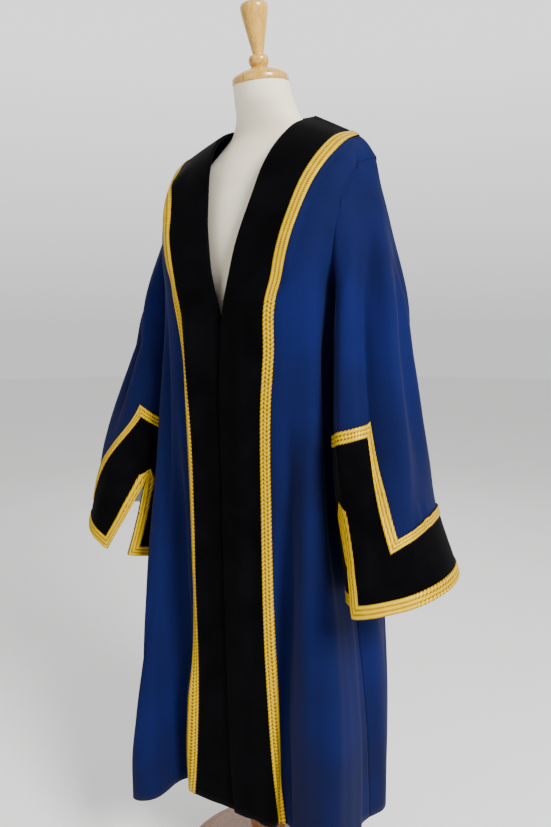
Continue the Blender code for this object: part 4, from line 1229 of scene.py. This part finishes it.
# Floor, light and camera
# A plain pale floor, soft light from the upper right, and the photograph's own viewpoint.
FLOOR_RADIUS = 14.0
bm = bmesh.new()
bmesh.ops.create_circle(bm, segments=96, radius=FLOOR_RADIUS, cap_ends=True)
floor_mesh = bpy.data.meshes.new("pale_floor")
bm.to_mesh(floor_mesh)
bm.free()
floor = bpy.data.objects.new("pale_floor", floor_mesh)
bpy.context.scene.collection.objects.link(floor)


def painted_floor(tree):
    """Matt pale paint with a very faint roller mottle."""
    place = add_node(tree, "TexCoord", output="Object")
    mottle = add_node(tree, "TexNoise", {"Scale": 3.0, "Detail": 2.0, "Vector": place}, "Fac")
    return (add_node(tree, "ValToRGB", {"stops": [(0.3, "#F6F5F4"), (0.7, "#F8F7F6")], 0: mottle}),)


floor_mesh.materials.append(finish_material("matt pale paint", painted_floor, Roughness=0.9))

CAMERA_AZIMUTH = math.radians(33.0)
CAMERA_DISTANCE = 1.2735
CAMERA_HEIGHT = 1.131
CAMERA_PITCH = math.radians(-7.5)
CAMERA_YAW = math.radians(0.65)
FOCAL_PIXELS = 672.3
IMAGE_HEIGHT = 827
SENSOR = 36.0

camera_data = bpy.data.cameras.new("photograph view")
camera_data.sensor_fit = "VERTICAL"
camera_data.sensor_height = SENSOR
camera_data.lens = FOCAL_PIXELS * SENSOR / IMAGE_HEIGHT
camera = bpy.data.objects.new("photograph view", camera_data)
bpy.context.scene.collection.objects.link(camera)
ahead = Vector((-math.sin(CAMERA_AZIMUTH), math.cos(CAMERA_AZIMUTH), 0))
right = Vector((math.cos(CAMERA_AZIMUTH), math.sin(CAMERA_AZIMUTH), 0))
level = ahead * math.cos(CAMERA_YAW) + right * math.sin(CAMERA_YAW)
right = right * math.cos(CAMERA_YAW) - ahead * math.sin(CAMERA_YAW)
looking = level * math.cos(CAMERA_PITCH) + Vector((0, 0, 1)) * math.sin(CAMERA_PITCH)
upward = Vector((0, 0, 1)) * math.cos(CAMERA_PITCH) - level * math.sin(CAMERA_PITCH)
camera.matrix_world = Matrix((
    (right.x, upward.x, -looking.x, CAMERA_DISTANCE * math.sin(CAMERA_AZIMUTH)),
    (right.y, upward.y, -looking.y, -CAMERA_DISTANCE * math.cos(CAMERA_AZIMUTH)),
    (right.z, upward.z, -looking.z, CAMERA_HEIGHT),
    (0, 0, 0, 1),
))
bpy.context.scene.camera = camera

# Every lamp is a plain white disc aimed at the robe's middle
LAMP_AIM = Vector((0, 0, 0.95))
Lamp = namedtuple("Lamp", "name azimuth height distance size power")
LAMPS = listed(Lamp, [
    ("window right", 67, 2.5, 2.6, 1.1, 180),
    ("soft front", -10, 2.4, 3.2, 2.4, 26),
    ("rim behind", 215, 2.4, 2.8, 1.8, 24),
])
for lamp in LAMPS:
    light = bpy.data.lights.new(lamp.name, "AREA")
    light.shape = "DISK"
    light.size = lamp.size
    light.energy = lamp.power
    holder = bpy.data.objects.new(lamp.name, light)
    bpy.context.scene.collection.objects.link(holder)
    turn = math.radians(lamp.azimuth)
    holder.location = (lamp.distance * math.sin(turn), -lamp.distance * math.cos(turn), lamp.height)
    holder.rotation_euler = (LAMP_AIM - holder.location).to_track_quat("-Z", "Y").to_euler()

# The studio's far wall is lit and the room in front of it is dimmer. Low on the wall it is no
# brighter than the floor in front of it, so no edge shows between them
WALL_DIRECTION = (-0.545, 0.839, 0.0)
ROOM_LIGHT, WALL_LIGHT = 0.40, 1.9
FLOOR_SHARE, FULL_RISE = 0.515, 0.35
world = bpy.data.worlds.new("pale studio")
world.use_nodes = True
room = world.node_tree
direction = add_node(room, "TexCoord", output="Generated")
towards_wall = add_node(room, "VectorMath", {"operation": "DOT_PRODUCT", 0: direction,
                                             1: WALL_DIRECTION}, "Value")
lit = add_node(room, "MapRange", {1: -0.2, 2: 0.7, 3: ROOM_LIGHT, 4: WALL_LIGHT, 0: towards_wall})
rise = add_node(room, "SeparateXYZ", {0: direction}, "Z")
low_wall = add_node(room, "MapRange", {1: 0.0, 2: FULL_RISE, 3: FLOOR_SHARE, 4: 1.0, 0: rise})
wall = add_node(room, "Math", {"operation": "MULTIPLY", 0: lit, 1: low_wall})
room.links.new(wall, room.nodes["Background"].inputs["Strength"])
room.nodes["Background"].inputs["Color"].default_value = linear("#EFEEEE")
bpy.context.scene.world = world
